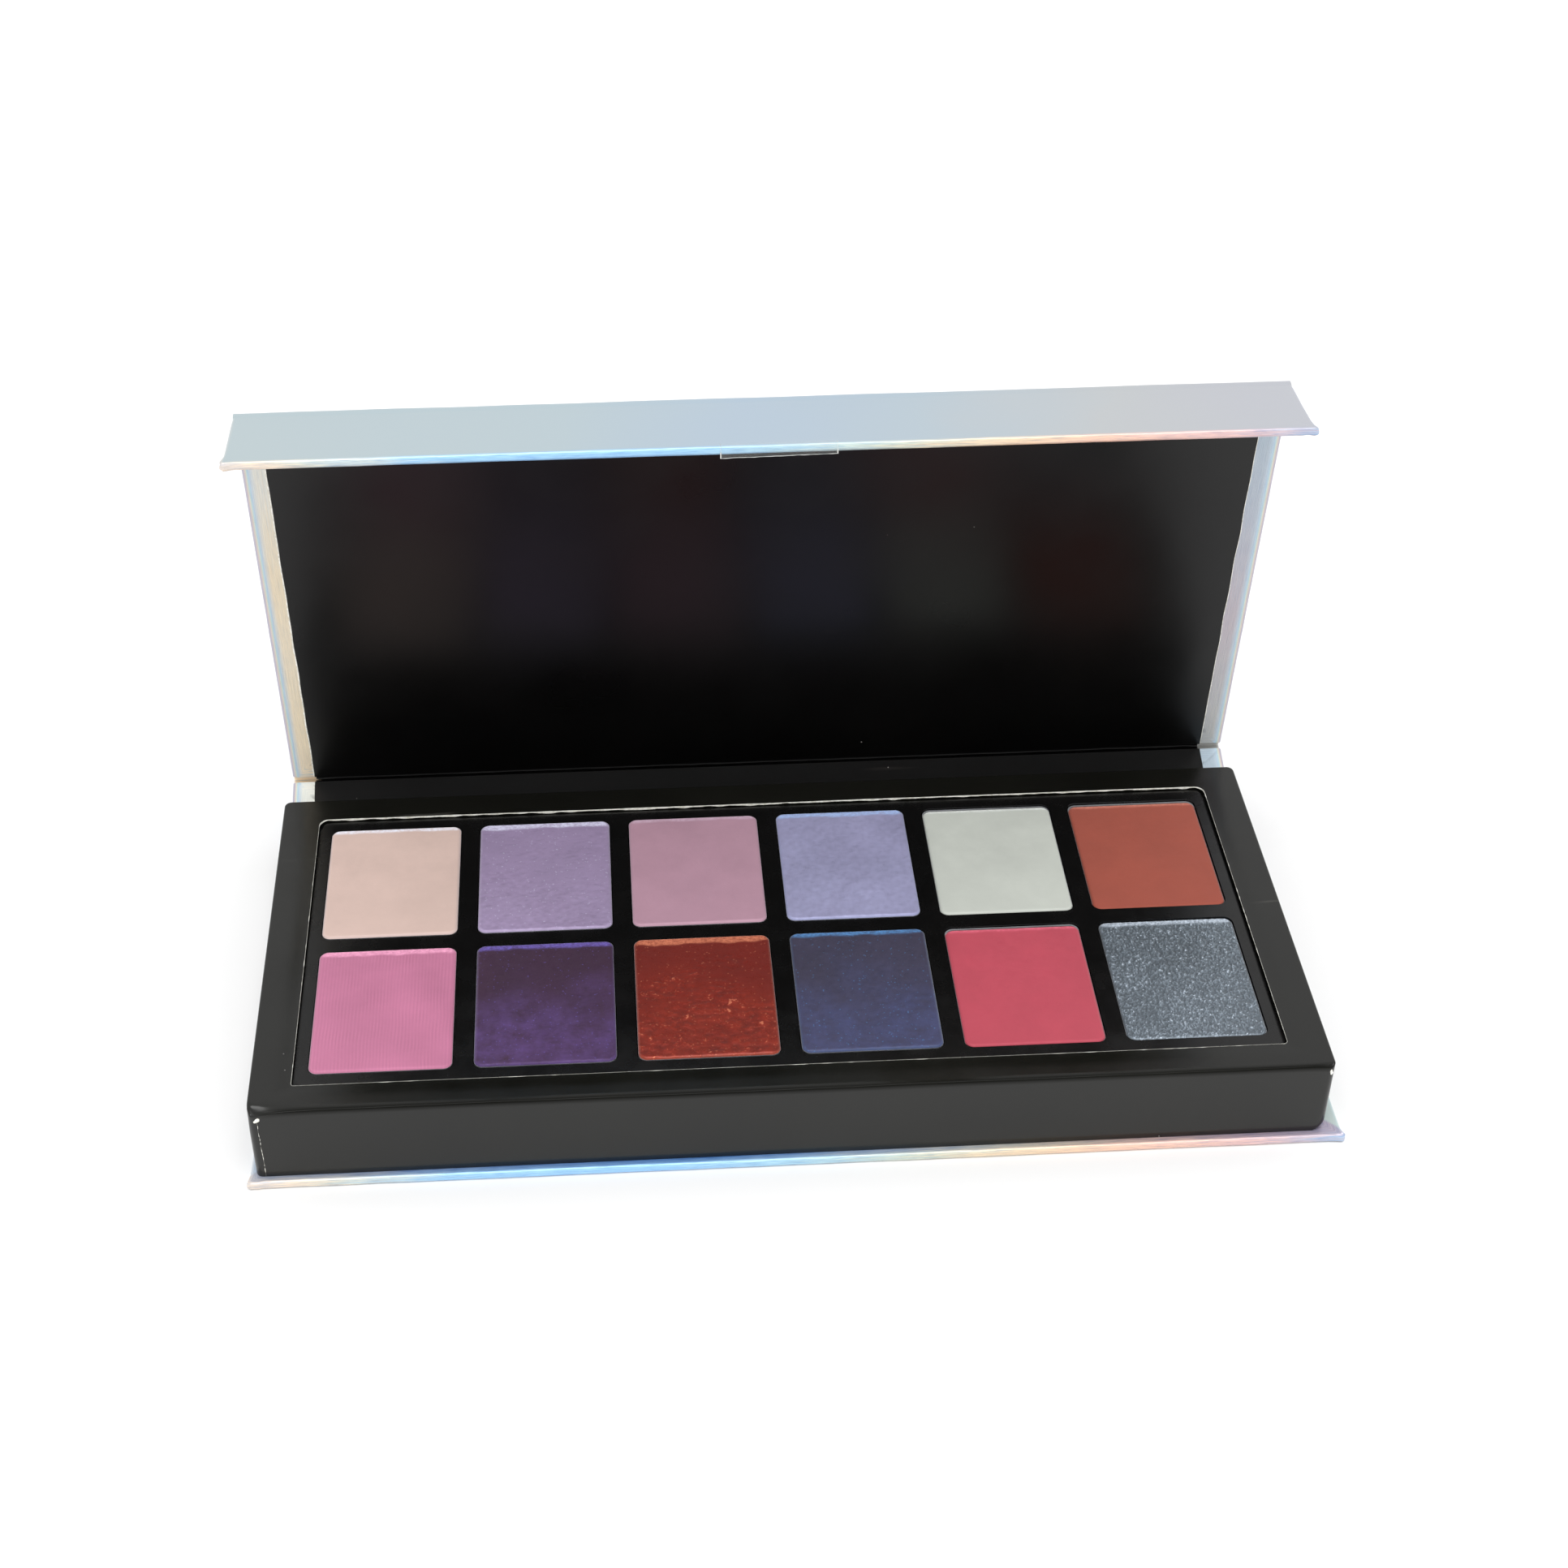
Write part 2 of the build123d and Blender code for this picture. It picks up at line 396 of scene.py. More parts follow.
def foilMaterial(name, c, faceKey, edgeKey, bandKey):
    # colour drifts over the face and runs in fine streaks round the wrapped edges
    s = Shade(name)
    s.set(rough=c["rough"], metal=c["metal"], coat=c["coat"], coatRough=c["coatRough"])
    drift = s.step(s.noise(s.place, c["driftScale"], 2.0, 0.5), 0.3, 0.7, -c["drift"], c["drift"])
    face = s.ramp(s.math("ADD", s.attribute("faceCoord"), drift), tones(c[faceKey]))
    grain = s.attribute("grain", "Vector")
    along, across = c["streakAlong"], c["streakAcross"]
    streaks = s.noise(s.scaled(grain, (along, across, 1.0)), 1.0, 4.0, 0.62)
    fineStreaks = s.noise(s.scaled(grain, (along * 3, across * 3.2, 1.0)), 1.0, 3.0, 0.6)
    push = s.step(streaks, 0.25, 0.75, -c["drift"], c["drift"])
    edgePlace = s.math("ADD", s.attribute("edgeCoord"), push)
    edge = s.ramp(edgePlace, tones(c[edgeKey]))
    edgeMask = s.attribute("edge")
    outward = s.attribute("band")
    if bandKey == "band":
        inner = s.ramp(outward, tones(c[bandKey]))
        edge = s.mix(s.step(outward, 0.0, 0.25), edge, inner)
    else:
        inner = s.ramp(edgePlace, tones(c[bandKey]))
        edge = s.mix(outward, edge, inner)
    edge = s.mix(c["streakMix"][edgeKey], edge, s.ramp(fineStreaks, c["streakTones"]), "MULTIPLY")
    s.color(s.mix(s.attribute("lined"), s.mix(edgeMask, face, edge), c["linedColor"]))
    both = s.math("ADD", streaks, s.math("MULTIPLY", fineStreaks, 0.5))
    height = s.math("MULTIPLY", both, s.math("ADD", edgeMask, 0.02))
    ridges = s.bump(height, c["streakDepth"], 0.8)
    s.bump(s.noise(s.place, c["fine"], 2.0, 0.6), c["fineDepth"], 0.5, ridges)
    return s.mat


foilFlap = foilMaterial("foilFlap", foilSet, "face", "edge", "edge")
foilWide = foilMaterial("foilWide", foilSet, "sweep", "edge", "ledge")
foilLid = foilMaterial("foilLid", foilSet, "sweep", "margin", "band")


def loopPoints(x0, x1, y0, y1, radii, counts):
    # rounded rectangle, anticlockwise from the +x +y corner, always the same number of points
    nArc, nx, ny = counts
    corners = [(x1, y1, -1, -1), (x0, y1, 1, -1), (x0, y0, 1, 1), (x1, y0, -1, 1)]
    arcs = []
    for k, ((cx, cy, sx, sy), radius) in enumerate(zip(corners, radii)):
        r = max(radius, 0.03 * mm)
        mid = (cx + sx * r, cy + sy * r)
        turns = [math.radians(90 * k + 90 * i / nArc) for i in range(nArc + 1)]
        arcs.append([(mid[0] + r * math.cos(t), mid[1] + r * math.sin(t)) for t in turns])
    points = []
    for k, arc in enumerate(arcs):
        points += arc
        nxt = arcs[(k + 1) % 4][0]
        steps = nx if k % 2 == 0 else ny
        x, y = arc[-1]
        for i in range(1, steps):
            t = i / steps
            points.append((x + (nxt[0] - x) * t, y + (nxt[1] - y) * t))
    return points


def ringMesh(rings, capStart=True, capEnd=True):
    # quads between loops of equal length, with a flat cap at each end
    n = len(rings[0])
    verts = [p for ring in rings for p in ring]
    faces = []
    for k in range(len(rings) - 1):
        a, b = k * n, (k + 1) * n
        for i in range(n):
            j = (i + 1) % n
            faces.append((a + i, b + i, b + j, a + j))
    if capStart:
        faces.append(tuple(range(n)))
    if capEnd:
        last = (len(rings) - 1) * n
        faces.append(tuple(reversed(range(last, last + n))))
    return verts, faces


shellSet = {
    "step": 0.8 * mm,
    "cornerRadius": 0.6 * mm,
    "round": 0.55 * mm,
    "roundSteps": 6,
    "liningDrop": 0.09 * mm,
    "edgeBack": 0.06 * mm,
    "crinkle": {"base": 0.07 * mm, "spine": 0.02 * mm, "lid": 0.03 * mm, "flap": 0.07 * mm},
    "cornerReach": 1.9 * mm,
    "cornerCrumple": 0.34 * mm,
    "cornerFlare": 0.55 * mm,
    "bandWidth": 1.5 * mm,
    "flats": (1.2 * mm, 2.0 * mm, 3.2 * mm, 5.2 * mm),  # rings on each face, in from the side
    "pushReach": 1.6 * mm,  # crinkles fade out over this width
    "sidePush": 0.9 * mm,
    "endPush": 0.3 * mm,
    "sideTone": 0.3,
    "faceFade": 0.6 * mm,
    "marginFade": (0.2 * mm, 0.55 * mm),
    "liningLap": 0.9 * mm,
}


def shellProfile(top, c):
    # inset and height of each ring, from the inner face round the edge to the outer face
    r = c["round"]
    turns = [math.radians(90 * k / c["roundSteps"]) for k in range(c["roundSteps"] + 1)]
    profile = [(inset, top) for inset in reversed(c["flats"])]
    profile += [(r - r * math.sin(a), top - r + r * math.cos(a)) for a in turns]
    profile += [(0.0, top - r - (top - 2 * r) * k / 3) for k in (1, 2)]
    profile += [(r - r * math.cos(a), r - r * math.sin(a)) for a in turns]
    profile += [(inset, 0.0) for inset in c["flats"]]
    return profile


def foilShell(panelName, mat, seed, facePlace, c=shellSet):
    # one board in its foil: inner margins, rounded wrapped edges and the outer face
    panel = panels[panelName]
    s0, s1, free0, free1 = panelRects[panelName]
    profile = shellProfile(boardThick - c["liningDrop"], c)
    w = halfWidth - c["edgeBack"]
    a0 = s0 + (c["edgeBack"] if free0 else 0)
    a1 = s1 - (c["edgeBack"] if free1 else 0)
    counts = (5, int(2 * w / c["step"]), max(8, int((a1 - a0) / c["step"])))
    isFree = (free1, free1, free0, free0)
    squeeze = min(1.0, 0.42 * (a1 - a0) / profile[0][0])
    across = [0.0]
    for (i0, z0), (i1, z1) in zip(profile, profile[1:]):
        across.append(across[-1] + math.hypot(i1 - i0, z1 - z0))

    def ringAt(inset):
        hinge = max(0.0, inset - c["round"])
        low = a0 + squeeze * (inset if free0 else hinge)
        high = a1 - squeeze * (inset if free1 else hinge)
        radii = [max(c["cornerRadius"] - inset, 0.3 * mm) if free else 0.03 * mm for free in isFree]
        return loopPoints(-w + inset, w - inset, low, high, radii, counts)

    outer = ringAt(0.0)
    length = [0.0]
    for p, q in zip(outer, outer[1:]):
        length.append(length[-1] + math.dist(p, q))
    corners = [(x, s) for x in (-w, w) for s, free in ((a0, free0), (a1, free1)) if free]
    rings, grain, edge, edgeCoord, faceCoord, band, lined = [], [], [], [], [], [], []
    fadeStart, fadeWidth = c["marginFade"]
    for k, (inset, h) in enumerate(profile):
        ring = []
        for i, (x, s) in enumerate(ringAt(inset)):
            ox, os = outer[i]
            u, v = length[i] / mm, across[k] / mm
            onHinge = (not free0 and os < a0 + 0.05 * mm) or (not free1 and os > a1 - 0.05 * mm)
            # crinkles along the edge, crumpled and flared paper at the free corners
            gaps = [(ox - cx) ** 2 + (os - cs) ** 2 for cx, cs in corners]
            near = math.exp(-min(gaps) / c["cornerReach"] ** 2) if gaps else 0.0
            onEdge = 0.0 if onHinge else smooth(1 - inset / c["pushReach"])
            push = c["crinkle"][panelName] * onEdge * wobble(u * 0.14, v * 1.3, seed)
            crumple = near * c["cornerCrumple"] * onEdge
            flare = c["cornerFlare"] * near ** 1.6 * onEdge
            dx = push * (abs(ox) > w - c["sidePush"]) + flare
            dx += crumple * 0.9 * wobble(u * 0.9, v * 1.6, seed)
            ds = push * (abs(ox) < w - c["endPush"]) + flare * 0.3
            ds += crumple * 0.9 * wobble(u * 1.1, v * 1.5, seed + 7)
            dh = crumple * wobble(u * 1.3, v * 1.4, seed + 3)
            dx = dx if x > 0 else -dx
            ds = ds if s > (a0 + a1) / 2 else -ds
            ring.append(tuple(panel.at(x + dx, s + ds, min(max(h + dh, 0.0), boardThick))))
            grain.append((u, v, 0.0))
            # where the streaked edge colour shows, and its place along the ramps
            outside = h < boardThick * 0.3
            fade = smooth(1 - inset / c["faceFade"]) if outside else 1.0
            fromEnd = abs(os - (a1 if free1 else a0))
            onSide = corners and abs(ox) > w - 0.5 * mm and fromEnd > c["pushReach"]
            edge.append(0.0 if onHinge and outside else fade * (c["sideTone"] if onSide else 1.0))
            if corners:
                edgeCoord.append(0.02 + 0.96 * (x + w) / (2 * w))
                band.append(smooth((inset - fadeStart) / fadeWidth) if h > boardThick / 2 else 0.0)
            else:
                f = (a1 - s) / (a1 - a0) if panelName == "lid" else 0.05
                edgeCoord.append((0.01 if x < 0 else 0.51) + 0.48 * f)
                band.append(min(1.0, max(0.0, 1 - (w - abs(x)) / c["bandWidth"])))
            faceCoord.append(facePlace(x / halfWidth, (s - s0) / (s1 - s0)))
            under = onHinge and h > 0.25 * boardThick and abs(x) < liningHalf - c["liningLap"]
            lined.append(1.0 if under else 0.0)
        rings.append(ring)
    verts, faces = ringMesh(rings)
    obj = makeObject(panelName + "_foil", verts, faces, mat, {
        "grain": ("FLOAT_VECTOR", grain), "edge": ("FLOAT", edge),
        "edgeCoord": ("FLOAT", edgeCoord), "faceCoord": ("FLOAT", faceCoord),
        "band": ("FLOAT", band), "lined": ("FLOAT", lined)})
    sharpen(obj, 50)
    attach(obj, panel.body)
    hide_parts(panelName + "_wrap", panelName + "_board")
    return obj


foilShell("base", foilWide, 1.7, lambda x, s: 0.5 + 0.32 * x + 0.12 * s)
foilShell("spine", foilLid, 3.9, lambda x, s: 0.42 + 0.36 * x + 0.05 * s)
foilShell("lid", foilLid, 6.2, lambda x, s: 0.5 + 0.34 * x - 0.22 * (s - 0.5))
foilShell("flap", foilFlap, 8.8, lambda x, s: 0.5 + 0.47 * x)
print("foil covers built")


# lining paper

liningSet = {
    "colors": (srgb(4, 4, 4), srgb(13, 12, 12)),
    "rough": 0.3,
    "roughSpread": (-0.03, 0.05),
    "roughNoise": (60.0, 3.0, 0.5),
    "spec": 0.38,
    # less shine for the spine's copy of the lining, a painted shade
    "spineShadedSpec": 0.2,
    "cloud": 18.0,
    "speckScale": 240.0,
    "speckSize": (0.034, 0.024),
    "speckPatch": (55.0, 0.6, 0.64),
    "speckColor": srgb(205, 200, 196),
    "scuffScale": (26, 300, 140),
    "scuffShare": (0.7, 0.78),
    "scuffCloud": (0.5, 0.6, 0.0, 0.2),
    "scuffColor": srgb(96, 90, 86),
    "waves": (34.0, 0.0003, 0.3),  # size, depth and strength
    "grain": (1500.0, 0.00001, 0.2),
    "thick": 0.12 * mm,
    "wander": 0.16 * mm,
    "columns": 150,
    "threadStep": 0.6 * mm,
}


def blackPaper(name, c, spec):
    # satin black paper: soft clouds, a few dust specks, faint long scuffs
    s = Shade(name)
    s.set(spec=spec)
    cloud = s.noise(s.place, c["cloud"], 4.0, 0.6)
    base = s.ramp(cloud, [(0.3, c["colors"][0]), (0.75, c["colors"][1])])
    specks = s.step(s.cells(s.place, c["speckScale"]), *c["speckSize"])
    patchScale, patchLow, patchHigh = c["speckPatch"]
    patches = s.step(s.noise(s.place, patchScale, 2.0, 0.5), patchLow, patchHigh)
    scuffs = s.step(s.noise(s.scaled(s.place, c["scuffScale"]), 1.0, 2.0, 0.5), *c["scuffShare"])
    mark = s.math("MULTIPLY", scuffs, s.step(cloud, *c["scuffCloud"]))
    base = s.mix(mark, base, c["scuffColor"])
    s.color(s.mix(s.math("MULTIPLY", specks, patches), base, c["speckColor"]))
    smoother, rougher = [c["rough"] + d for d in c["roughSpread"]]
    s.rough(s.step(s.noise(s.place, *c["roughNoise"]), 0.3, 0.7, smoother, rougher))
    waveScale, waveDepth, waveStrength = c["waves"]
    waves = s.bump(s.noise(s.place, waveScale, 2.0, 0.5), waveDepth, waveStrength)
    grainScale, grainDepth, grainStrength = c["grain"]
    s.bump(s.noise(s.place, grainScale, 3.0, 0.6), grainDepth, grainStrength, waves)
    return s


def cutPaperMaterial():
    # raw white edge of torn or cut paper
    s = Shade("cutPaper")
    s.set(rough=0.85, spec=0.2)
    fuzz = s.noise(s.place, 1400.0, 3.0, 0.6)
    s.color(s.ramp(fuzz, [(0.3, srgb(212, 210, 196)), (0.6, srgb(255, 254, 246))]))
    s.bump(fuzz, 0.00005, 0.8)
    return s.mat


liningMat = blackPaper("blackLining", liningSet, liningSet["spec"]).mat
# the spine's lining is a shaded copy of the same black paper: less shine makes it read darker, as painted shade
spineShadedMat = blackPaper("spineLiningShaded", liningSet, liningSet["spineShadedSpec"]).mat
cutMat = cutPaperMaterial()


def gridSolid(outer, inner):
    # closed thin solid between two grids of points, row by row
    rows, cols = len(outer), len(outer[0])
    verts = [tuple(p) for row in outer for p in row] + [tuple(p) for row in inner for p in row]
    n = rows * cols
    faces = []
    for i in range(rows - 1):
        for j in range(cols - 1):
            a, d = i * cols + j, (i + 1) * cols + j
            b, c = a + 1, d + 1
            faces.append((a, d, c, b))
            faces.append((n + a, n + b, n + c, n + d))
    rim = [(j, j + 1) for j in range(cols - 1)]
    rim += [(i * cols + cols - 1, (i + 1) * cols + cols - 1) for i in range(rows - 1)]
    rim += [((rows - 1) * cols + j + 1, (rows - 1) * cols + j) for j in range(cols - 1)]
    rim += [((i + 1) * cols, i * cols) for i in range(rows - 1)]
    faces += [(a, b, n + b, n + a) for a, b in rim]
    return verts, faces


def liningSheet(name, panelName, s0, s1, replaced, seed, rows, freeEnd=False, c=liningSet):
    # lining on one board, with its knife-cut edge wandering a little
    panel = panels[panelName]
    cols = c["columns"]
    low, high = [], []
    for i in range(rows + 1):
        s = s0 + (s1 - s0) * i / rows
        left = -liningHalf + c["wander"] * wobble(s * 160, seed)
        right = liningHalf + c["wander"] * wobble(s * 160, seed + 5)
        places = []
        for j in range(cols + 1):
            x = left + (right - left) * j / cols
            edge = c["wander"] * wobble(x * 150, seed + 9) if freeEnd and i == rows else 0
            places.append((x, s + edge))
        low.append([panel.at(x, y, boardThick - c["thick"]) for x, y in places])
        high.append([panel.at(x, y, boardThick) for x, y in places])
    verts, faces = gridSolid(low, high)
    obj = makeObject(name, verts, faces, spineShadedMat if panelName == "spine" else liningMat)
    sharpen(obj, 40)
    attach(obj, panel.body)
    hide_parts(replaced)
    return obj


def cutEdge(name, panelName, side, s0, s1, width, seed, c=liningSet):
    # the thread of white paper that shows where a knife cut the lining
    panel = panels[panelName]
    steps = int((s1 - s0) / c["threadStep"])
    rings = []
    for i in range(steps + 1):
        s = s0 + (s1 - s0) * i / steps
        x = side * liningHalf + c["wander"] * wobble(s * 160, seed)
        w = width * (0.8 + 0.6 * wobble(s * 1400, seed + 2))
        tuck = -0.03 * mm  # its inner side lies under the lining
        section = ((tuck, -0.11 * mm), (tuck, 0.0), (w, -0.04 * mm), (w, -0.1 * mm))
        ring = [tuple(panel.at(x + side * dx, s, boardThick + dh)) for dx, dh in section]
        rings.append(ring if side > 0 else ring[::-1])
    verts, faces = ringMesh(rings)
    obj = makeObject(name, verts, faces, cutMat)
    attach(obj, panel.body)
    return obj


lidRange = panelRects["lid"]
spineRange = panelRects["spine"]
flapRange = panelRects["flap"]
liningSheet("lid_lining", "lid", lidRange[0], lidRange[1], "lid_liner", 2.1, 60)
liningSheet("spine_lining", "spine", spineRange[0], spineRange[1], "spine_liner", 2.1, 10)
linerReach = reachOf("flap_liner", panels["flap"])
liningSheet("flap_lining", "flap", flapRange[0], linerReach, "flap_liner", 4.4, 10, True)
cutEdge("lid_cut_left", "lid", -1, lidRange[0], lidRange[1], 0.3 * mm, 2.1)
cutEdge("lid_cut_right", "lid", 1, lidRange[0], lidRange[1], 0.16 * mm, 7.1)
print("lining sheets built")


# folds of foil and lining

foldSet = {
    "steps": 16,
    "across": 170,
    "dip": 1.15 * mm,
    "liningThick": 0.12 * mm,
    "round": 0.6 * mm,
    "crease": 0.1 * mm,
    "endCrease": 0.28 * mm,
    "endReach": 4.5 * mm,
    "rimSpare": 0.7 * mm,  # the round rim takes this much of each end
    "outerSag": 0.06 * mm,
    "liningLap": 0.3 * mm,
    "flapSpread": 0.47,
    "lidSpread": 0.34,
}


def foldSolid(name, aName, bName, isFoil, replaced, seed, c=foldSet):
    # the flexible strip between two boards: flat outside, pressed into a groove inside
    a, b = panels[aName], panels[bName]
    xHalf = halfWidth - shellSet["edgeBack"] if isFoil else liningHalf
    levelTop = boardThick - (shellSet["liningDrop"] if isFoil else 0)
    even = [-xHalf + 2 * xHalf * j / c["across"] for j in range(c["across"] + 1)]
    rim = [c["round"] * (1 - math.cos(math.radians(15 * k))) for k in range(7)] if isFoil else [0.0]
    places = [-xHalf + d for d in rim]
    places += [x for x in even if abs(x) < xHalf - c["rimSpare"]]
    places += [xHalf - d for d in reversed(rim)]
    low, high, grain, edge, edgeCoord, lined = [], [], [], [], [], []
    for i in range(c["steps"] + 1):
        u = -1 + 2 * i / c["steps"]
        w = smooth((u + 1) / 2)
        angle = math.radians(a.degrees + (b.degrees - a.degrees) * w)
        along = Vector((0, math.cos(angle), math.sin(angle)))
        inward = Vector((0, -math.sin(angle), math.cos(angle)))
        calm = (1 - u * u) ** 0.8
        rowLow, rowHigh = [], []
        for x in places:
            d = xHalf - abs(x)
            atEnd = smooth(1 - d / c["endReach"])
            ripple = calm * (c["crease"] + c["endCrease"] * atEnd) * wobble(x * 300, u * 2.2, seed)
            up = levelTop - c["dip"] * calm + ripple * 0.7
            down = up - c["liningThick"]
            if isFoil:
                down = calm * c["outerSag"] * (1 + wobble(x * 90, u, seed + 4))
                r = min(c["round"], (up - down) / 2)
                tuck = r - math.sqrt(max(0.0, r * r - max(0.0, r - d) ** 2))
                up, down = up - tuck, down + tuck
            at = b.origin + Vector((x, 0, 0)) + along * (u * halfGap)
            rowLow.append(at + inward * down)
            rowHigh.append(at + inward * up)
            grain.append((x / mm * 0.8 + seed, u * halfGap / mm, 0.0))
            edge.append(0.0)
            edgeCoord.append(0.485 if x < 0 else 0.985)
            lined.append(1.0 if abs(x) < liningHalf - c["liningLap"] else 0.0)
        low.append(rowLow)
        high.append(rowHigh)
    verts, faces = gridSolid(low, high)
    foil = foilFlap if bName == "flap" else foilLid
    spread = c["flapSpread"] if bName == "flap" else c["lidSpread"]
    faceCoord = [0.5 + spread * p[0] / halfWidth for row in low for p in row]
    obj = makeObject(name, verts, faces, foil if isFoil else liningMat, {
        "grain": ("FLOAT_VECTOR", grain * 2), "edge": ("FLOAT", edge + [1.0] * len(edge)),
        "edgeCoord": ("FLOAT", edgeCoord * 2), "faceCoord": ("FLOAT", faceCoord * 2),
        "lined": ("FLOAT", [0.0] * len(lined) + lined)})
    sharpen(obj, 60)
    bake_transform(obj)
    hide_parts(*replaced)
    return obj


foldSolid("spine_fold_foil", "base", "spine", True, ["base_hinge_tab"], 1.3)
foldSolid("lid_fold_foil", "spine", "lid", True, ["spine_hinge_tabs", "lid_hinge_tabs"], 5.6)
foldSolid("flap_fold_foil", "lid", "flap", True, ["flap_hinge_tab"], 9.4)
foldSolid("spine_fold_lining", "base", "spine", False, [], 2.3)
foldSolid("lid_fold_lining", "spine", "lid", False, [], 6.6)
foldSolid("flap_fold_lining", "lid", "flap", False, [], 3.4)
print("folds built")


# tray box

traySet = {
    "cornerRadius": 1.2 * mm,
    "edgeRadius": 0.28 * mm,
    "foldRadius": 0.35 * mm,
    "step": 0.8 * mm,
    "wallShares": (0.0, 0.02, 0.05, 0.09, 0.14, 0.22, 0.34, 0.46, 0.58, 0.7, 0.8, 0.88, 0.94, 1.0),
    "topShares": (0.02, 0.05, 0.08, 0.12, 0.16, 0.2, 0.28, 0.4, 0.52, 0.64, 0.76, 0.86, 0.94, 1.0),
    "frontSag": 0.06 * mm,
    "frontReach": 0.9 * mm,
    "ripple": 0.08 * mm,
    "crush": 1.7 * mm,  # the front left corner is pushed in
    "crushReach": (2.6 * mm, 1.8 * mm),
    "nick": 0.4 * mm,
    "nickReach": 2.4 * mm,
    "crumple": 0.16 * mm,
    "crumpleReach": 1.7 * mm,
    "footTuck": 1.9 * mm,
    "tuckReach": 2.2 * mm,
    "windowSag": 0.12 * mm,
    "wall": 2.15 * mm,
    "windowRadii": [1.6 * mm, 1.6 * mm, 0.5 * mm, 0.6 * mm],
    "colors": (srgb(9, 9, 6), srgb(18, 18, 14)),
    "rough": 0.2,
    "roughSpread": (-0.04, 0.06),
    "roughNoise": (70.0, 5.0, 0.65),
    "spec": 0.46,
    "edgeShadeSpec": 0.06,  # less shine on the front top edge keeps it dark: painted shade
    "edgeFade": (1.0 * mm, 1.3 * mm),  # how far it reaches over the top and down the front
    "cloud": 25.0,
    "speckScale": 260.0,
    "speckSize": (0.035, 0.025),
    "speckPatch": (48.0, 0.64, 0.68),
    "speckColor": srgb(190, 188, 182),
    "scuffScale": (40, 420, 60),
    "scuffShare": (0.72, 0.8),
    "scuffCloud": (0.5, 0.62, 0.0, 0.25),
    "scuffColor": srgb(120, 118, 112),
    "waves": (42.0, 0.0003, 0.25),
    "grain": (1300.0, 0.000012, 0.4),
}


def trayMaterial(c):
    s = blackPaper("trayPaper", c, c["spec"])
    # painted shade: the front top edge is given less shine so that it stays dark
    edgeShadeSpec = s.step(s.attribute("frontEdge"), 0.0, 1.0, c["spec"], c["edgeShadeSpec"])
    s.link(edgeShadeSpec, s.bsdf.inputs["Specular IOR Level"])
    return s.mat


trayMat = trayMaterial(traySet)
cardLow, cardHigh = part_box("tray_top_card")
trayMid = (trayLow + trayHigh) / 2


def windowRect():
    # the hole in the top card, read from the card's own vertices round its middle
    verts = [v.co for v in frame["nodes"]["tray_top_card"].data.vertices]
    reach = (cardHigh - cardLow) / 2 - Vector((4, 4, 0)) * mm
    inner = [v - trayMid for v in verts]
    inner = [v + trayMid for v in inner if abs(v.x) < reach.x and abs(v.y) < reach.y]
    xs, ys = [v.x for v in inner], [v.y for v in inner]
    return min(xs), max(xs), min(ys), max(ys)


window = windowRect()


def trayDip(x, y, c=traySet):
    # how far the paper's top edge sinks below the box top: worn front edge, crushed left corner
    fromFront, fromLeft, fromRight = y - trayLow.y, x - trayLow.x, trayHigh.x - x
    front = smooth(1 - fromFront / c["frontReach"])
    wave = wobble(x * 42, 1.5, 2.2) + 0.6 * wobble(x * 130, 4.5, 2.2) + 0.25 * wobble(x * 420, 4.5, 7.2)
    crushX, crushY = c["crushReach"]
    crush = c["crush"] * math.exp(-(fromLeft / crushX) ** 0.9) * smooth(1 - fromFront / crushY)
    nick = c["nick"] * math.exp(-(fromRight / c["nickReach"]) ** 2) * front
    return max(0.0, front * (c["frontSag"] + c["ripple"] * wave) + crush + nick)


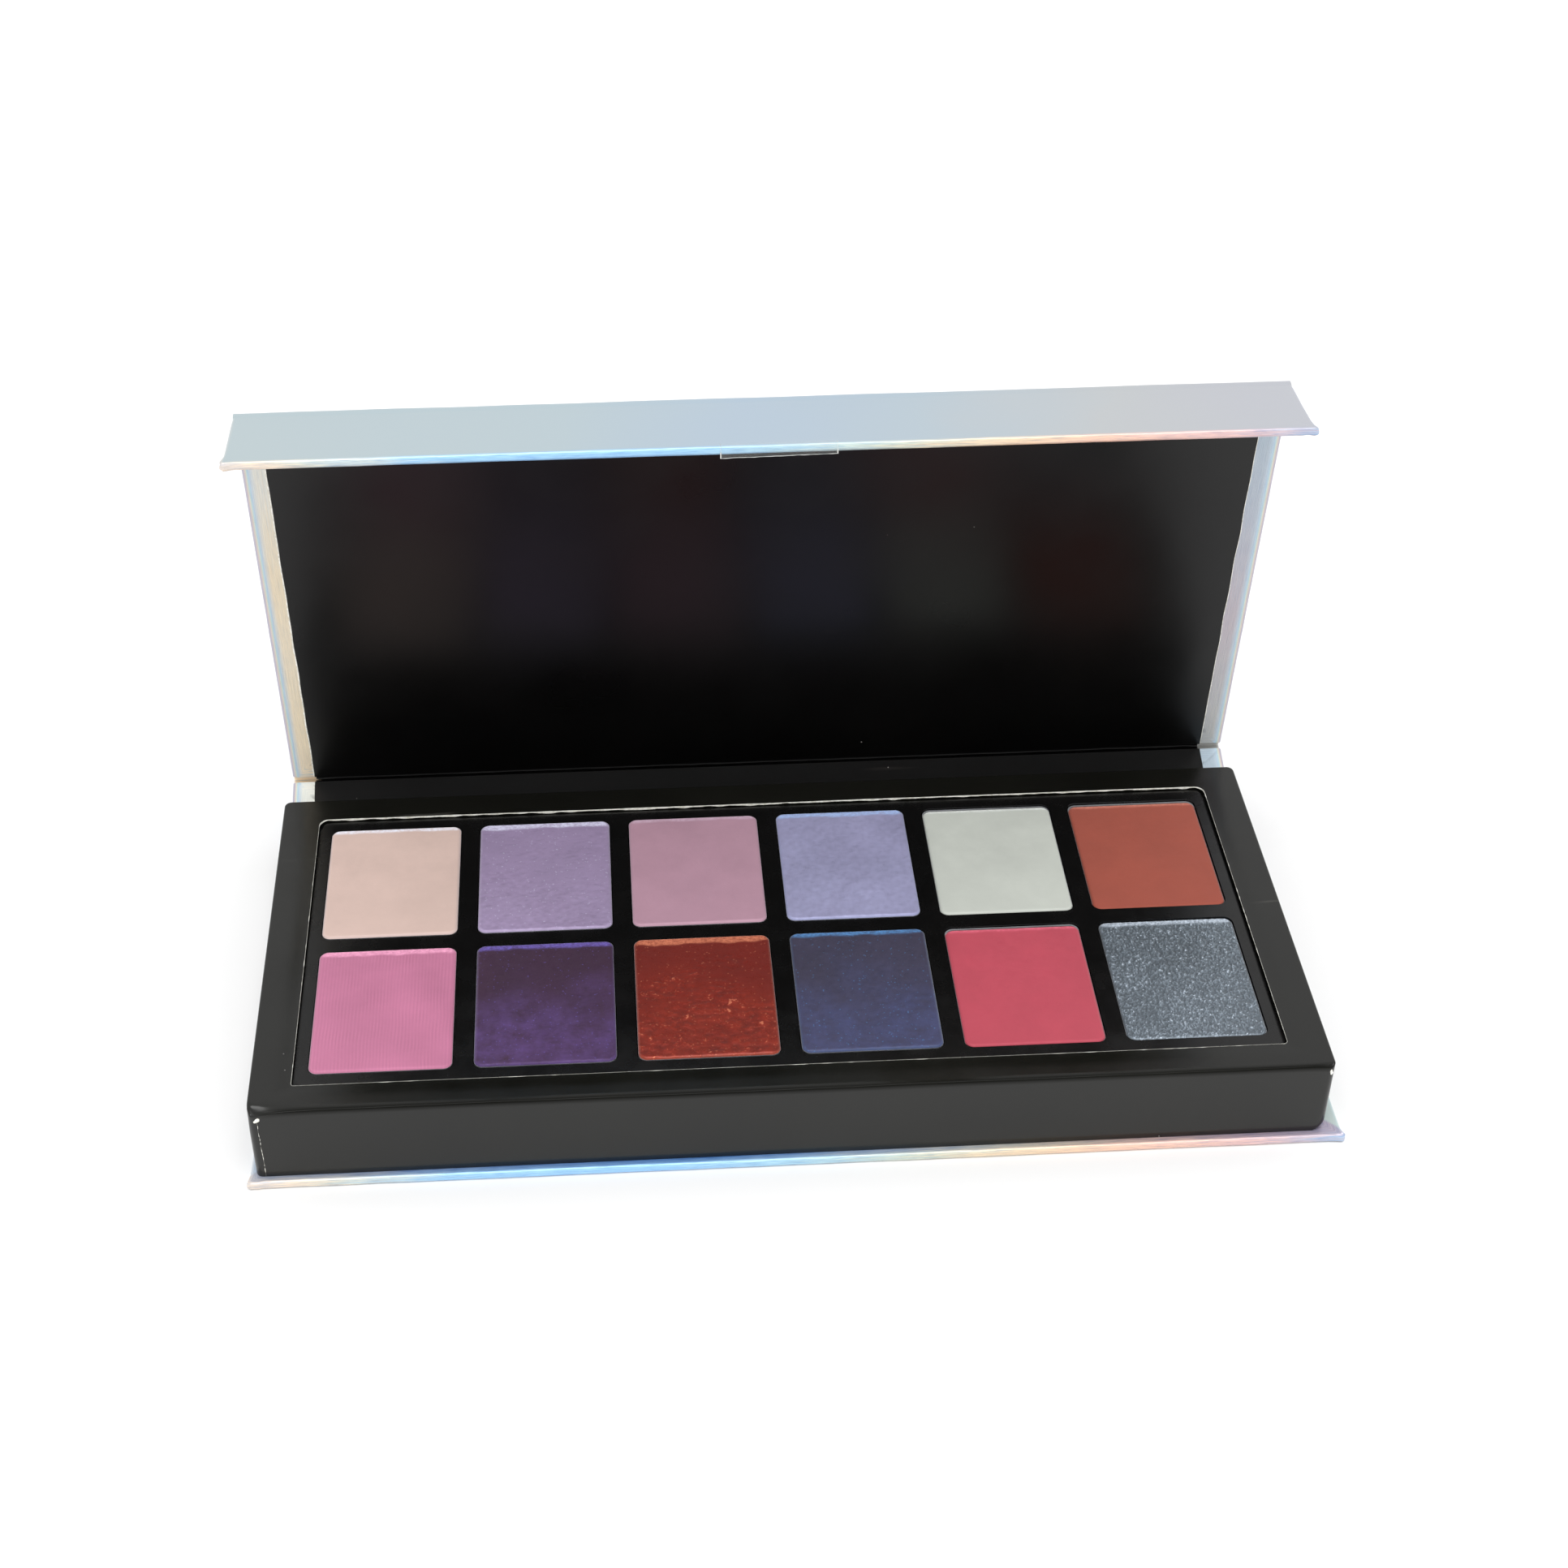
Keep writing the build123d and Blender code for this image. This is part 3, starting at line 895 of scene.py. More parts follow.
def trayPaper(c=traySet):
    # one skin: up the sides, over the soft edges, across the top and down into the window
    x0, x1, y0, y1 = trayLow.x, trayHigh.x, trayLow.y, trayHigh.y
    top, floorLevel = trayHigh.z, trayLow.z
    counts = (6, int((x1 - x0) / c["step"]), int((y1 - y0) / c["step"]))
    outline = loopPoints(x0, x1, y0, y1, [c["cornerRadius"]] * 4, counts)
    rings = []

    def wallRing(inset, share, edgeLift=0.0):
        # share 0 at the foot and 1 at the top edge; inset measured from the box side
        radii = [max(c["cornerRadius"] - inset, c["foldRadius"])] * 4
        loop = loopPoints(x0 + inset, x1 - inset, y0 + inset, y1 - inset, radii, counts)
        ring = []
        for (x, y), (ox, oy) in zip(loop, outline):
            level = top - trayDip(ox, oy)
            z = floorLevel + (level - c["edgeRadius"] - floorLevel) * share + edgeLift
            # the right front corner tucks in at its foot, the left one is crumpled at its top
            below = max(0.0, 1 - (z - floorLevel) / c["footTuck"])
            tuck = c["footTuck"] * (1 - math.sqrt(max(0.0, 1 - below ** 2)))
            corner = smooth(1 - math.hypot(ox - x1, oy - y0) / c["tuckReach"])
            near = math.exp(-(math.hypot(ox - x0, oy - y0) / c["crumpleReach"]) ** 2)
            crumple = c["crumple"] * near * smooth((share - 0.72) / 0.28)
            x += crumple * (1 + wobble(x * 900, z * 1100, 1.2)) - corner * tuck
            y += crumple * (1 + wobble(y * 1200, z * 900, 6.2))
            ring.append((x, y, z))
        return ring

    for share in c["wallShares"]:
        rings.append(wallRing(0.0, share))
    r = c["edgeRadius"]
    for k in range(1, 7):
        a = math.radians(15 * k)
        rings.append(wallRing(r - r * math.cos(a), 1.0, r * math.sin(a)))
    wx0, wx1, wy0, wy1 = window
    base = rings[-1]
    inner = loopPoints(wx0, wx1, wy0, wy1, c["windowRadii"], counts)
    for t in c["topShares"]:
        ring = []
        for (bx, by, _), (ix, iy) in zip(base, inner):
            x, y = bx + (ix - bx) * t, by + (iy - by) * t
            sag = c["windowSag"] * smooth((t - 0.5) / 0.5) * (0.6 + 0.5 * wobble(ix * 45, iy * 45, 8.8))
            ring.append((x, y, top - trayDip(x, y) - sag))
        rings.append(ring)
    edgeRing = rings[-1]
    for drop in (0.35, 1.0):
        pairs = zip(inner, edgeRing)
        rings.append([(ix, iy, edge[2] + (cardLow.z - edge[2]) * drop) for (ix, iy), edge in pairs])
    # back under the top and down inside the walls, so that the skin closes
    inset = c["wall"]
    radii = [c["foldRadius"]] * 4
    hidden = loopPoints(x0 + inset, x1 - inset, y0 + inset, y1 - inset, radii, counts)
    rings.append([(x, y, cardLow.z) for x, y in hidden])
    rings.append([(x, y, floorLevel) for x, y in hidden])
    verts, faces = ringMesh(rings, False, False)
    n = len(hidden)
    last = (len(rings) - 1) * n
    faces += [(last + i, i, (i + 1) % n, last + (i + 1) % n) for i in range(n)]
    faces = [tuple(reversed(f)) for f in faces]
    back, down = c["edgeFade"]
    frontEdge = [smooth(1 - (y - y0) / back) * smooth(1 - (top - z) / down) for x, y, z in verts]
    obj = makeObject("tray_paper", verts, faces, trayMat, {"frontEdge": ("FLOAT", frontEdge)})
    sharpen(obj, 48)
    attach(obj, "base")
    walls = ["tray_" + side + "_wall" for side in ("front", "back", "left", "right")]
    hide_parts("tray_wrap", "tray_top_card", *walls)
    return edgeRing


windowEdge = trayPaper()


fraySet = {
    "backShare": 1.0,  # the back line is the most ragged
    "share": 0.16,
    "lip": 0.022 * mm,
    "drop": 0.3 * mm,
    "spotDrop": 0.1 * mm,
    "skin": 0.012 * mm,
}


def windowFray(ring, c=fraySet):
    # the white core of the card where the window was cut, ragged along its length
    rings = []
    n = len(ring)
    backLine = max(p[1] for p in ring) - 2 * mm
    for i in range(n):
        x, y, z = ring[i]
        share = c["backShare"] if y > backLine else c["share"]
        px, py, _ = ring[i - 1]
        qx, qy, _ = ring[(i + 1) % n]
        t = Vector((qx - px, qy - py, 0)).normalized()
        out = Vector((t.y, -t.x, 0))
        torn = smooth((wobble(x * 260, y * 260, 9.4) - 0.1) / 0.35)
        spot = smooth((wobble(x * 620, y * 620, 4.4) - 0.28) / 0.1) * (1 - share)
        fuzz = 0.4 + 2.2 * torn + 1.2 * abs(wobble(x * 900, y * 900, 1.1))
        lip = c["lip"] * (share * fuzz + 3.0 * spot)
        depth = 0.75 + 0.7 * wobble(x * 500, y * 500, 6.1) + 0.5 * torn
        drop = c["drop"] * share * depth + c["spotDrop"] * spot
        section = (
            (lip, -0.02 * mm), (lip * 0.8, c["skin"]), (-0.02 * mm, c["skin"]),
            (-0.03 * mm, -drop), (0.03 * mm, -drop),
        )
        at = Vector((x, y, z))
        rings.append([tuple(at + out * across + Vector((0, 0, up))) for across, up in section])
    verts = [p for r in rings for p in r]
    faces = []
    for i in range(n):
        a, b = i * 5, ((i + 1) % n) * 5
        faces += [(a + k, b + k, b + (k + 1) % 5, a + (k + 1) % 5) for k in range(5)]
    obj = makeObject("window_fray", verts, faces, cutMat)
    sharpen(obj, 30)
    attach(obj, "base")


windowFray(windowEdge)


def tornPatch(name, middle, tall, wide, lean, seed):
    # a spot where the black paper tore and its white core shows, on the tray's front face
    rings = []
    for reach, proud in ((1.0, 0.0), (0.8, 0.05 * mm), (0.45, 0.09 * mm)):
        ring = []
        for k in range(18):
            a = math.radians(20 * k)
            r = reach * (1 + 0.45 * wobble(math.cos(a) * 1.3, math.sin(a) * 1.3, seed + reach))
            u, v = wide * r * math.cos(a), tall * r * math.sin(a)
            x = u * math.cos(lean) - v * math.sin(lean)
            z = u * math.sin(lean) + v * math.cos(lean)
            ring.append((middle[0] + x, middle[1] - proud, middle[2] + z))
        rings.append(ring)
    verts, faces = ringMesh([[(x, y + 0.12 * mm, z) for x, y, z in rings[0]]] + rings)
    faces = [tuple(reversed(f)) for f in faces]
    obj = makeObject(name, verts, faces, cutMat)
    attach(obj, "base")


seamSet = {
    "fromLeft": 1.6 * mm,
    "foot": 0.1 * mm,
    "head": 1.8 * mm,
    "steps": 90,
    "bend": 0.12 * mm,
    "lean": 0.1 * mm,
    "halfWidth": 0.05 * mm,
    "sunk": 0.03 * mm,
    "proud": 0.025 * mm,
}


def seamLine(c=seamSet):
    # the raw edge of the overlapping paper, broken here and there
    y = trayLow.y
    z0, z1 = trayLow.z + c["foot"], trayHigh.z - c["head"]
    rings = []
    for i in range(c["steps"] + 1):
        t = i / c["steps"]
        z = z0 + (z1 - z0) * t
        x = trayLow.x + c["fromLeft"] + c["bend"] * wobble(t * 5, 2.4) - c["lean"] * t
        w = c["halfWidth"] * max(0.06, 0.45 + 1.6 * wobble(t * 22, 8.4))
        section = ((w, c["sunk"]), (w * 0.6, -c["proud"]), (-w * 0.6, -c["proud"]), (-w, c["sunk"]))
        rings.append([(x + dx, y + dy, z) for dx, dy in section])
    verts, faces = ringMesh(rings)
    obj = makeObject("tray_seam", verts, faces, cutMat)
    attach(obj, "base")


leftSpot = (trayLow.x + 1.5 * mm, trayLow.y + 0.05 * mm, trayHigh.z - 2.0 * mm)
rightSpot = (trayHigh.x - 0.75 * mm, trayLow.y + 0.1 * mm, trayHigh.z - 1.4 * mm)
tornPatch("tray_torn_left", leftSpot, 0.32 * mm, 0.7 * mm, 0.7, 2.2)
tornPatch("tray_torn_right", rightSpot, 0.55 * mm, 0.3 * mm, 0.25, 5.2)
seamLine()
print("tray skin built")


# powders

powderSet = {
    "grid": 0.28 * mm,
    "fineGrid": 0.16 * mm,
    "corner": 1.5 * mm,
    "bevel": 0.5 * mm,
    "bevelRough": 0.03 * mm,
    "topSpare": 0.05 * mm,
    "rimStart": 0.15 * mm,
    "rimFade": 0.3 * mm,
    "stripFade": 0.6 * mm,
    "endFade": 0.9 * mm,
    "seat": 0.02 * mm,
    "plugInset": 0.4 * mm,
    "plugDepth": 2.6 * mm,
    "fineReliefs": ("ribs", "worms", "dents"),
    "crestGain": {"ribs": 7.0, "mottle": 5.0, "brush": 5.0, "worms": 10.0, "dents": 5.5},
}

# color, edge and second are eye colours, edge being the pale tone used for the painted highlights; strip is the
# depth in mm of the painted highlight along the back edge, gap the slot behind the powder in mm, and shine how
# metallic it is
powderLooks = {
    "back_1": {
        "color": (204, 178, 168), "edge": (240, 242, 255),
        "shine": 0.1, "relief": "plain", "rough": 0.62, "strip": 0.95,
    },
    "back_2": {
        "color": (151, 132, 166), "edge": (228, 226, 252), "second": (175, 161, 195),
        "shine": 0.35, "relief": "mottle", "rough": 0.5, "mixing": 0.25, "strip": 1.5,
    },
    "back_3": {
        "color": (176, 136, 153), "edge": (206, 176, 196),
        "shine": 0.15, "relief": "plain", "rough": 0.5, "strip": 0.9,
    },
    "back_4": {
        "color": (149, 147, 181), "edge": (172, 200, 250), "second": (165, 167, 203),
        "shine": 0.3, "relief": "brush", "rough": 0.48, "mixing": 0.35, "strip": 1.4,
    },
    "back_5": {
        "color": (188, 192, 184), "edge": (226, 230, 226),
        "gap": 0.5, "shine": 0.08, "relief": "plain", "rough": 0.62, "strip": 0.7,
    },
    "back_6": {
        "color": (151, 69, 52), "edge": (206, 124, 104),
        "gap": 0.55, "shine": 0.06, "relief": "plain", "rough": 0.66, "strip": 0.7,
    },
    "front_1": {
        "color": (186, 112, 144), "edge": (244, 166, 200),
        "shine": 0.2, "relief": "ribs", "rough": 0.58, "strip": 1.4,
    },
    "front_2": {
        "color": (55, 26, 54), "edge": (112, 94, 184), "second": (94, 66, 130),
        "shine": 0.4, "relief": "mottle", "rough": 0.5, "mixing": 0.7, "strip": 1.3,
    },
    "front_3": {
        "color": (117, 24, 10), "edge": (226, 132, 98), "second": (154, 46, 20),
        "shine": 0.5, "relief": "dents", "rough": 0.3, "glitter": 0.35, "mixing": 0.6, "strip": 1.7,
    },
    "front_4": {
        "color": (55, 51, 74), "edge": (84, 142, 202), "second": (69, 77, 124),
        "shine": 0.4, "relief": "brush", "rough": 0.48, "mixing": 0.7, "strip": 1.1,
    },
    "front_5": {
        "color": (180, 66, 83), "edge": (222, 100, 122),
        "gap": 0.5, "shine": 0.1, "relief": "few", "rough": 0.54, "strip": 0.7,
    },
    "front_6": {
        "color": (104, 114, 123), "edge": (206, 218, 232), "second": (144, 156, 169),
        "shine": 0.6, "relief": "worms", "rough": 0.32, "glitter": 0.7, "deep": 0.42,
        "mixing": 0.3, "strip": 1.2,
    },
}


def tinted(color, factor):
    return tuple(min(1.0, v * factor) for v in color[:3]) + (1.0,)


def powderMaterial(name, look):
    # cloudy pressed pigment with a second tone toward the front; glitter, painted shade and light over the relief,
    # and painted highlights on the crests and along the back edge
    s = Shade("powder_" + name)
    s.set(metal=look["shine"] * 0.5, sheen=0.25, sheenRough=0.5, spec=0.35)
    tone = srgb(*look["color"])
    second = srgb(*look.get("second", look["color"]))
    bright = srgb(*look["edge"])
    shiny = look["shine"] > 0.3
    cloud = s.noise(s.place, 110.0, 5.0, 0.62)
    base = s.ramp(cloud, [(0.32, tinted(tone, 0.93)), (0.68, tinted(tone, 1.06))])
    mottled = s.step(s.noise(s.place, 300.0, 6.0, 0.72), 0.25, 0.72)
    patch = s.math("MULTIPLY", s.attribute("patch"), mottled)
    base = s.mix(s.math("MULTIPLY", patch, look.get("mixing", 0.5)), base, second)
    # real glitter flakes, painted in the pale tone as glints
    if shiny:
        flakes = s.tree.nodes.new("ShaderNodeSeparateColor")
        s.link(s.cells(s.place, 5200.0, "Color"), flakes.inputs["Color"])
        glitter = look.get("glitter", look["shine"] * 0.8)
        base = s.mix(s.step(flakes.outputs["Red"], 0.98, 0.99, 0.0, glitter), base, bright)
    white = (1.0, 1.0, 1.0, 1.0)
    # painted shade in the hollows and painted light on the crests, scaled by the relief height
    deep = look.get("deep", 0.28)
    crest = s.attribute("crest")
    lightAndShade = [(0.0, (1 - deep,) * 3 + (1.0,)), (0.5, white), (1.0, (1 + deep,) * 3 + (1.0,))]
    base = s.mix(1.0, base, s.ramp(crest, lightAndShade), "MULTIPLY")
    # painted highlights on the highest crests of the shiny powders
    if shiny:
        base = s.mix(s.step(crest, 0.86, 1.0, 0.0, min(1.0, look["shine"] * 1.3)), base, bright)
    base = s.mix(s.math("MULTIPLY", s.attribute("rim"), look.get("rim", 0.1)), base, bright)
    # painted highlight along the back edge in the pale tone, broken up by grain
    grains = s.noise(s.scaled(s.place, (1500, 2400, 1500)), 1.0, 4.0, 0.8)
    backHighlight = s.math("MULTIPLY", s.attribute("backHighlight"), s.step(grains, 0.4, 0.6, 0.4, 1.0))
    s.color(s.mix(backHighlight, base, bright))
    blotch = s.noise(s.place, 700.0, 4.0, 0.6)
    s.rough(s.step(blotch, 0.3, 0.7, look["rough"] - 0.07, look["rough"] + 0.1))
    soft = s.bump(s.noise(s.place, 420.0, 4.0, 0.6), 0.00005, 0.5)
    s.bump(s.noise(s.place, 2600.0, 4.0, 0.7), 0.00002, 0.6 if look["rough"] > 0.5 else 0.85, soft)
    return s.mat


def roundedSquare(x, y, hx, hy, r):
    # moves a grid point in a corner square onto a quarter disc, so that the outline is round
    ax, ay = abs(x) - (hx - r), abs(y) - (hy - r)
    if ax <= 0 or ay <= 0:
        return x, y, min(hx - abs(x), hy - abs(y))
    p, q = ax / r, ay / r
    if p >= q:
        radius, angle = p, math.pi / 4 * q / p
    else:
        radius, angle = q, math.pi / 2 - math.pi / 4 * p / q
    nx = hx - r + r * radius * math.cos(angle)
    ny = hy - r + r * radius * math.sin(angle)
    return math.copysign(nx, x), math.copysign(ny, y), r * (1 - radius)


def gridLines(half, step):
    # grid places across a pan, close together near its rim
    near = [0.0, 0.07, 0.15, 0.24, 0.34, 0.46, 0.6, 0.8]
    flat = half - near[-1] * mm
    count = int(2 * flat / step)
    middle = [-flat + 2 * flat * i / count for i in range(1, count)]
    return [-half + d * mm for d in near] + middle + [half - d * mm for d in reversed(near)]


def reliefAt(kind, x, y, seed):
    # height of the pressed surface in millimetres, from the middle of the pan
    u, v = x / mm, y / mm
    wave = 0.03 * wobble(u * 0.12, v * 0.12, seed)
    if kind == "ribs":
        along = 0.6 + 0.8 * wobble(u * 0.5, v * 0.22, seed + 5)
        drift = 2.2 * wobble(u * 0.2, v * 0.2, seed)
        return wave + 0.022 * along * math.sin(2 * math.pi * u / 0.55 + drift)
    if kind == "mottle":
        crowd = smooth(0.5 - v * 0.06 + wobble(u * 0.2, v * 0.2, seed + 4))
        rough = wobble(u * 1.3, v * 1.9, seed) * crowd
        fold = -0.05 * smooth((wobble(u * 0.8, v * 2.4, seed + 8) - 0.36) / 0.12)
        return wave + 0.05 * rough + 0.6 * fold + 0.01 * wobble(u * 4, v * 4, seed)
    if kind == "brush":
        fold = -0.03 * smooth((wobble(u * 1.1, v * 2.6, seed + 8) - 0.42) / 0.1)
        strokes = 0.014 * wobble(u * 5.5, v * 0.5, seed)
        return wave + strokes + 0.04 * wobble(u * 1.2, v * 1.2, seed) + fold
    if kind == "worms":
        ridge = 1 - abs(wobble(u * 2.1, v * 1.2, seed)) * 5
        fine = 1 - abs(wobble(u * 3.6, v * 1.9, seed + 2)) * 4
        return wave + 0.11 * max(ridge, 0) + 0.1 * max(fine, 0) - 0.085
    if kind == "dents":
        crowd = smooth(0.62 - v * 0.06 + 1.1 * wobble(u * 0.17, v * 0.17, seed))
        rough = wobble(u * 0.6, v * 0.9, seed) * 0.12 + wobble(u * 2.0, v * 2.8, seed) * 0.05
        bentU = wobble(u * 0.4, v * 0.4, seed + 1) * 2.6
        bentV = wobble(u * 0.4, v * 0.4, seed + 12) * 2.6
        crease = 1 - abs(wobble(u * 0.8 + bentU, v * 0.7 + bentV, seed + 6)) * 11
        short = smooth((wobble(u * 1.1, v * 1.1, seed + 17) + 0.08) / 0.2)
        height = rough * 0.8 + 0.12 * max(crease, 0) * short - 0.015
        return wave + height * (0.1 + 0.9 * crowd)
    if kind == "few":
        pit = -0.05 * smooth((wobble(u * 1.3, v * 1.3, seed + 6) - 0.42) / 0.14)
        return wave + pit * smooth(1 - math.hypot(u + 4, v + 1) / 5)
    return wave + 0.006 * wobble(u * 2, v * 2, seed)


def powderCake(name, look, seed, c=powderSet):
    # pressed cake: a relief top with rounded corners, and a plug that reaches down into the pan
    low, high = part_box("powder_" + name)
    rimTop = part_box("pan_" + name)[1].z
    rise = high.z - rimTop
    gap = look.get("gap", 0.0) * mm
    mid = (low + high) / 2 - Vector((0, gap / 2, 0))
    hx, hy = (high.x - low.x) / 2, (high.y - low.y - gap) / 2
    step = c["fineGrid"] if look["relief"] in c["fineReliefs"] else c["grid"]
    gain = c["crestGain"].get(look["relief"], 0.0)
    xs, ys = gridLines(hx, step), gridLines(hy, step)
    cols, rows = len(xs), len(ys)
    verts, back, patch, crest, rim = [], [], [], [], []
    for y in ys:
        for x in xs:
            px, py, d = roundedSquare(x, y, hx, hy, c["corner"])
            t = min(1.0, d / c["bevel"])
            shape = math.sin(t * math.pi / 2) ** 0.8
            rough = c["bevelRough"] * wobble(px * 1500, py * 1500, seed) * (1 - t) * (t > 0)
            relief = reliefAt(look["relief"], px, py, seed)
            z = high.z - c["topSpare"] - rise * (1 - shape) + rough + relief * mm * t
            verts.append((mid.x + px, mid.y + py, min(z, high.z)))
            # relief height, kept for the painted shade and highlights
            crest.append(0.5 + min(0.5, max(-0.5, relief * gain)))
            rim.append(smooth(1 - (d - c["rimStart"]) / c["rimFade"]))
            # the strip of painted highlight along the back edge, where the bevel would catch light from above and
            # behind
            depth = look["strip"] * mm * (0.85 + 0.3 * wobble(px * 330, seed, 1.9))
            strip = smooth(1 - (hy - py - depth) / c["stripFade"]) if py > 0 else 0.0
            back.append(strip * (0.3 + 0.7 * smooth((hx - abs(px)) / c["endFade"])))
            patch.append(smooth(0.5 - py / (2 * hy) * 1.7 + 0.5 * wobble(px * 110, py * 110, seed + 3)))
    faces = []
    for i in range(rows - 1):
        for j in range(cols - 1):
            a = i * cols + j
            faces.append((a, a + 1, a + cols + 1, a + cols))
    # the outline of the grid, then the rings under it
    loop = list(range(cols)) + [i * cols + cols - 1 for i in range(1, rows)]
    loop += [(rows - 1) * cols + j for j in range(cols - 2, -1, -1)]
    loop += [i * cols for i in range(rows - 2, 0, -1)]
    n = len(loop)
    ring = loop
    plug = c["plugInset"]
    for inset, depth in ((0.0, c["seat"]), (plug, c["seat"]), (plug, c["plugDepth"])):
        start = len(verts)
        for index in loop:
            x, y, _ = verts[index]
            fx = (hx - inset) / hx
            fy = (hy - inset) / hy
            verts.append((mid.x + (x - mid.x) * fx, mid.y + (y - mid.y) * fy, rimTop - depth))
        for values, value in ((back, 0.0), (patch, 0.0), (crest, 0.4), (rim, 0.0)):
            values += [value] * n
        faces += [(ring[i], start + i, start + (i + 1) % n, ring[(i + 1) % n]) for i in range(n)]
        ring = list(range(start, start + n))
    faces.append(tuple(reversed(ring)))
    obj = makeObject("cake_" + name, verts, faces, powderMaterial(name, look), {
        "backHighlight": ("FLOAT", back), "patch": ("FLOAT", patch),
        "crest": ("FLOAT", crest), "rim": ("FLOAT", rim)})
    sharpen(obj, 75)
    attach(obj, "base")
    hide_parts("powder_" + name)


for k, (name, look) in enumerate(powderLooks.items()):
    powderCake(name, look, 3.3 + 7.1 * k)
print("powders built")


# tape, pans, insert and hidden pieces

tapeSet = {
    "thick": 0.05 * mm,
    "turnRadius": 0.5 * mm,
    "hang": 0.42 * mm,
    "shift": -0.75 * mm,
    "curl": 0.12 * mm,
    "ragged": 0.05 * mm,
    "taper": 0.6,  # how much shorter the hanging end gets toward the right
    "rows": 60,
    "columns": 76,
    "borderLength": 1.1 * mm,
    "sideBorder": 0.25,
    "alpha": (0.045, 0.9),  # clear middle and pale cut edges
    "tones": [(0.3, srgb(214, 222, 222)), (0.7, srgb(246, 246, 240))],
}


def tapeMaterial(c):
    s = Shade("clearTape")
    s.set(rough=0.12, spec=0.5)
    s.link(s.step(s.attribute("border"), 0.0, 1.0, *c["alpha"]), s.bsdf.inputs["Alpha"])
    s.color(s.ramp(s.noise(s.place, 500.0, 3.0, 0.6), c["tones"]))
    s.bump(s.noise(s.place, 300.0, 2.0, 0.5), 0.00006, 0.7)
    return s.mat


def tapeFilm(c=tapeSet):
    # clear film stuck over the flap's free edge, its end hanging a little below
    low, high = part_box("seal_tape")
    flap = panels["flap"]
    verts = frame["nodes"]["seal_tape"].data.vertices
    start = min((v.co - flap.origin).dot(flap.along) for v in verts)
    radius = c["turnRadius"]
    flat = flapReach - radius - start
    bend = math.pi / 2 * radius
    drop = boardThick - radius
    total = flat + bend + drop + c["hang"]
    outer, inner, border = [], [], []
    for i in range(c["rows"] + 1):
        run = total * i / c["rows"]
        past = run - flat - bend
        lastRow = i == c["rows"]
        turn = min(1.0, max(0.0, (run - flat) / bend)) * math.pi / 2
        s0 = start + min(run, flat) + radius * math.sin(turn)
        h0 = radius * (1 - math.cos(turn)) + max(0.0, past)
        rowOut, rowIn = [], []
        for j in range(c["columns"] + 1):
            share = j / c["columns"]
            x = low.x + (high.x - low.x) * share + c["shift"]
            curl = c["curl"] * smooth(past / boardThick) * wobble(x * 420, 3.3)
            ragged = c["ragged"] * wobble(x * 900, 7.7) * lastRow
            ragged -= c["taper"] * c["hang"] * share * smooth((past - drop) / c["hang"])
            for row, lift in ((rowOut, c["thick"]), (rowIn, c["thick"] * 0.1)):
                along = s0 + math.sin(turn) * lift + curl
                row.append(flap.at(x, along, h0 - math.cos(turn) * lift + ragged))
            side = 1.0 if run > total - c["borderLength"] else c["sideBorder"]
            onSide = j in (0, c["columns"])
            border.append(1.0 if i >= c["rows"] - 1 else (side if onSide else 0.0))
        outer.append(rowOut)
        inner.append(rowIn)
    verts, faces = gridSolid(outer, inner)
    obj = makeObject("tape_film", verts, faces, tapeMaterial(c), {"border": ("FLOAT", border * 2)})
    sharpen(obj, 50)
    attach(obj, "flap")
    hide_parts("seal_tape")


tapeFilm()


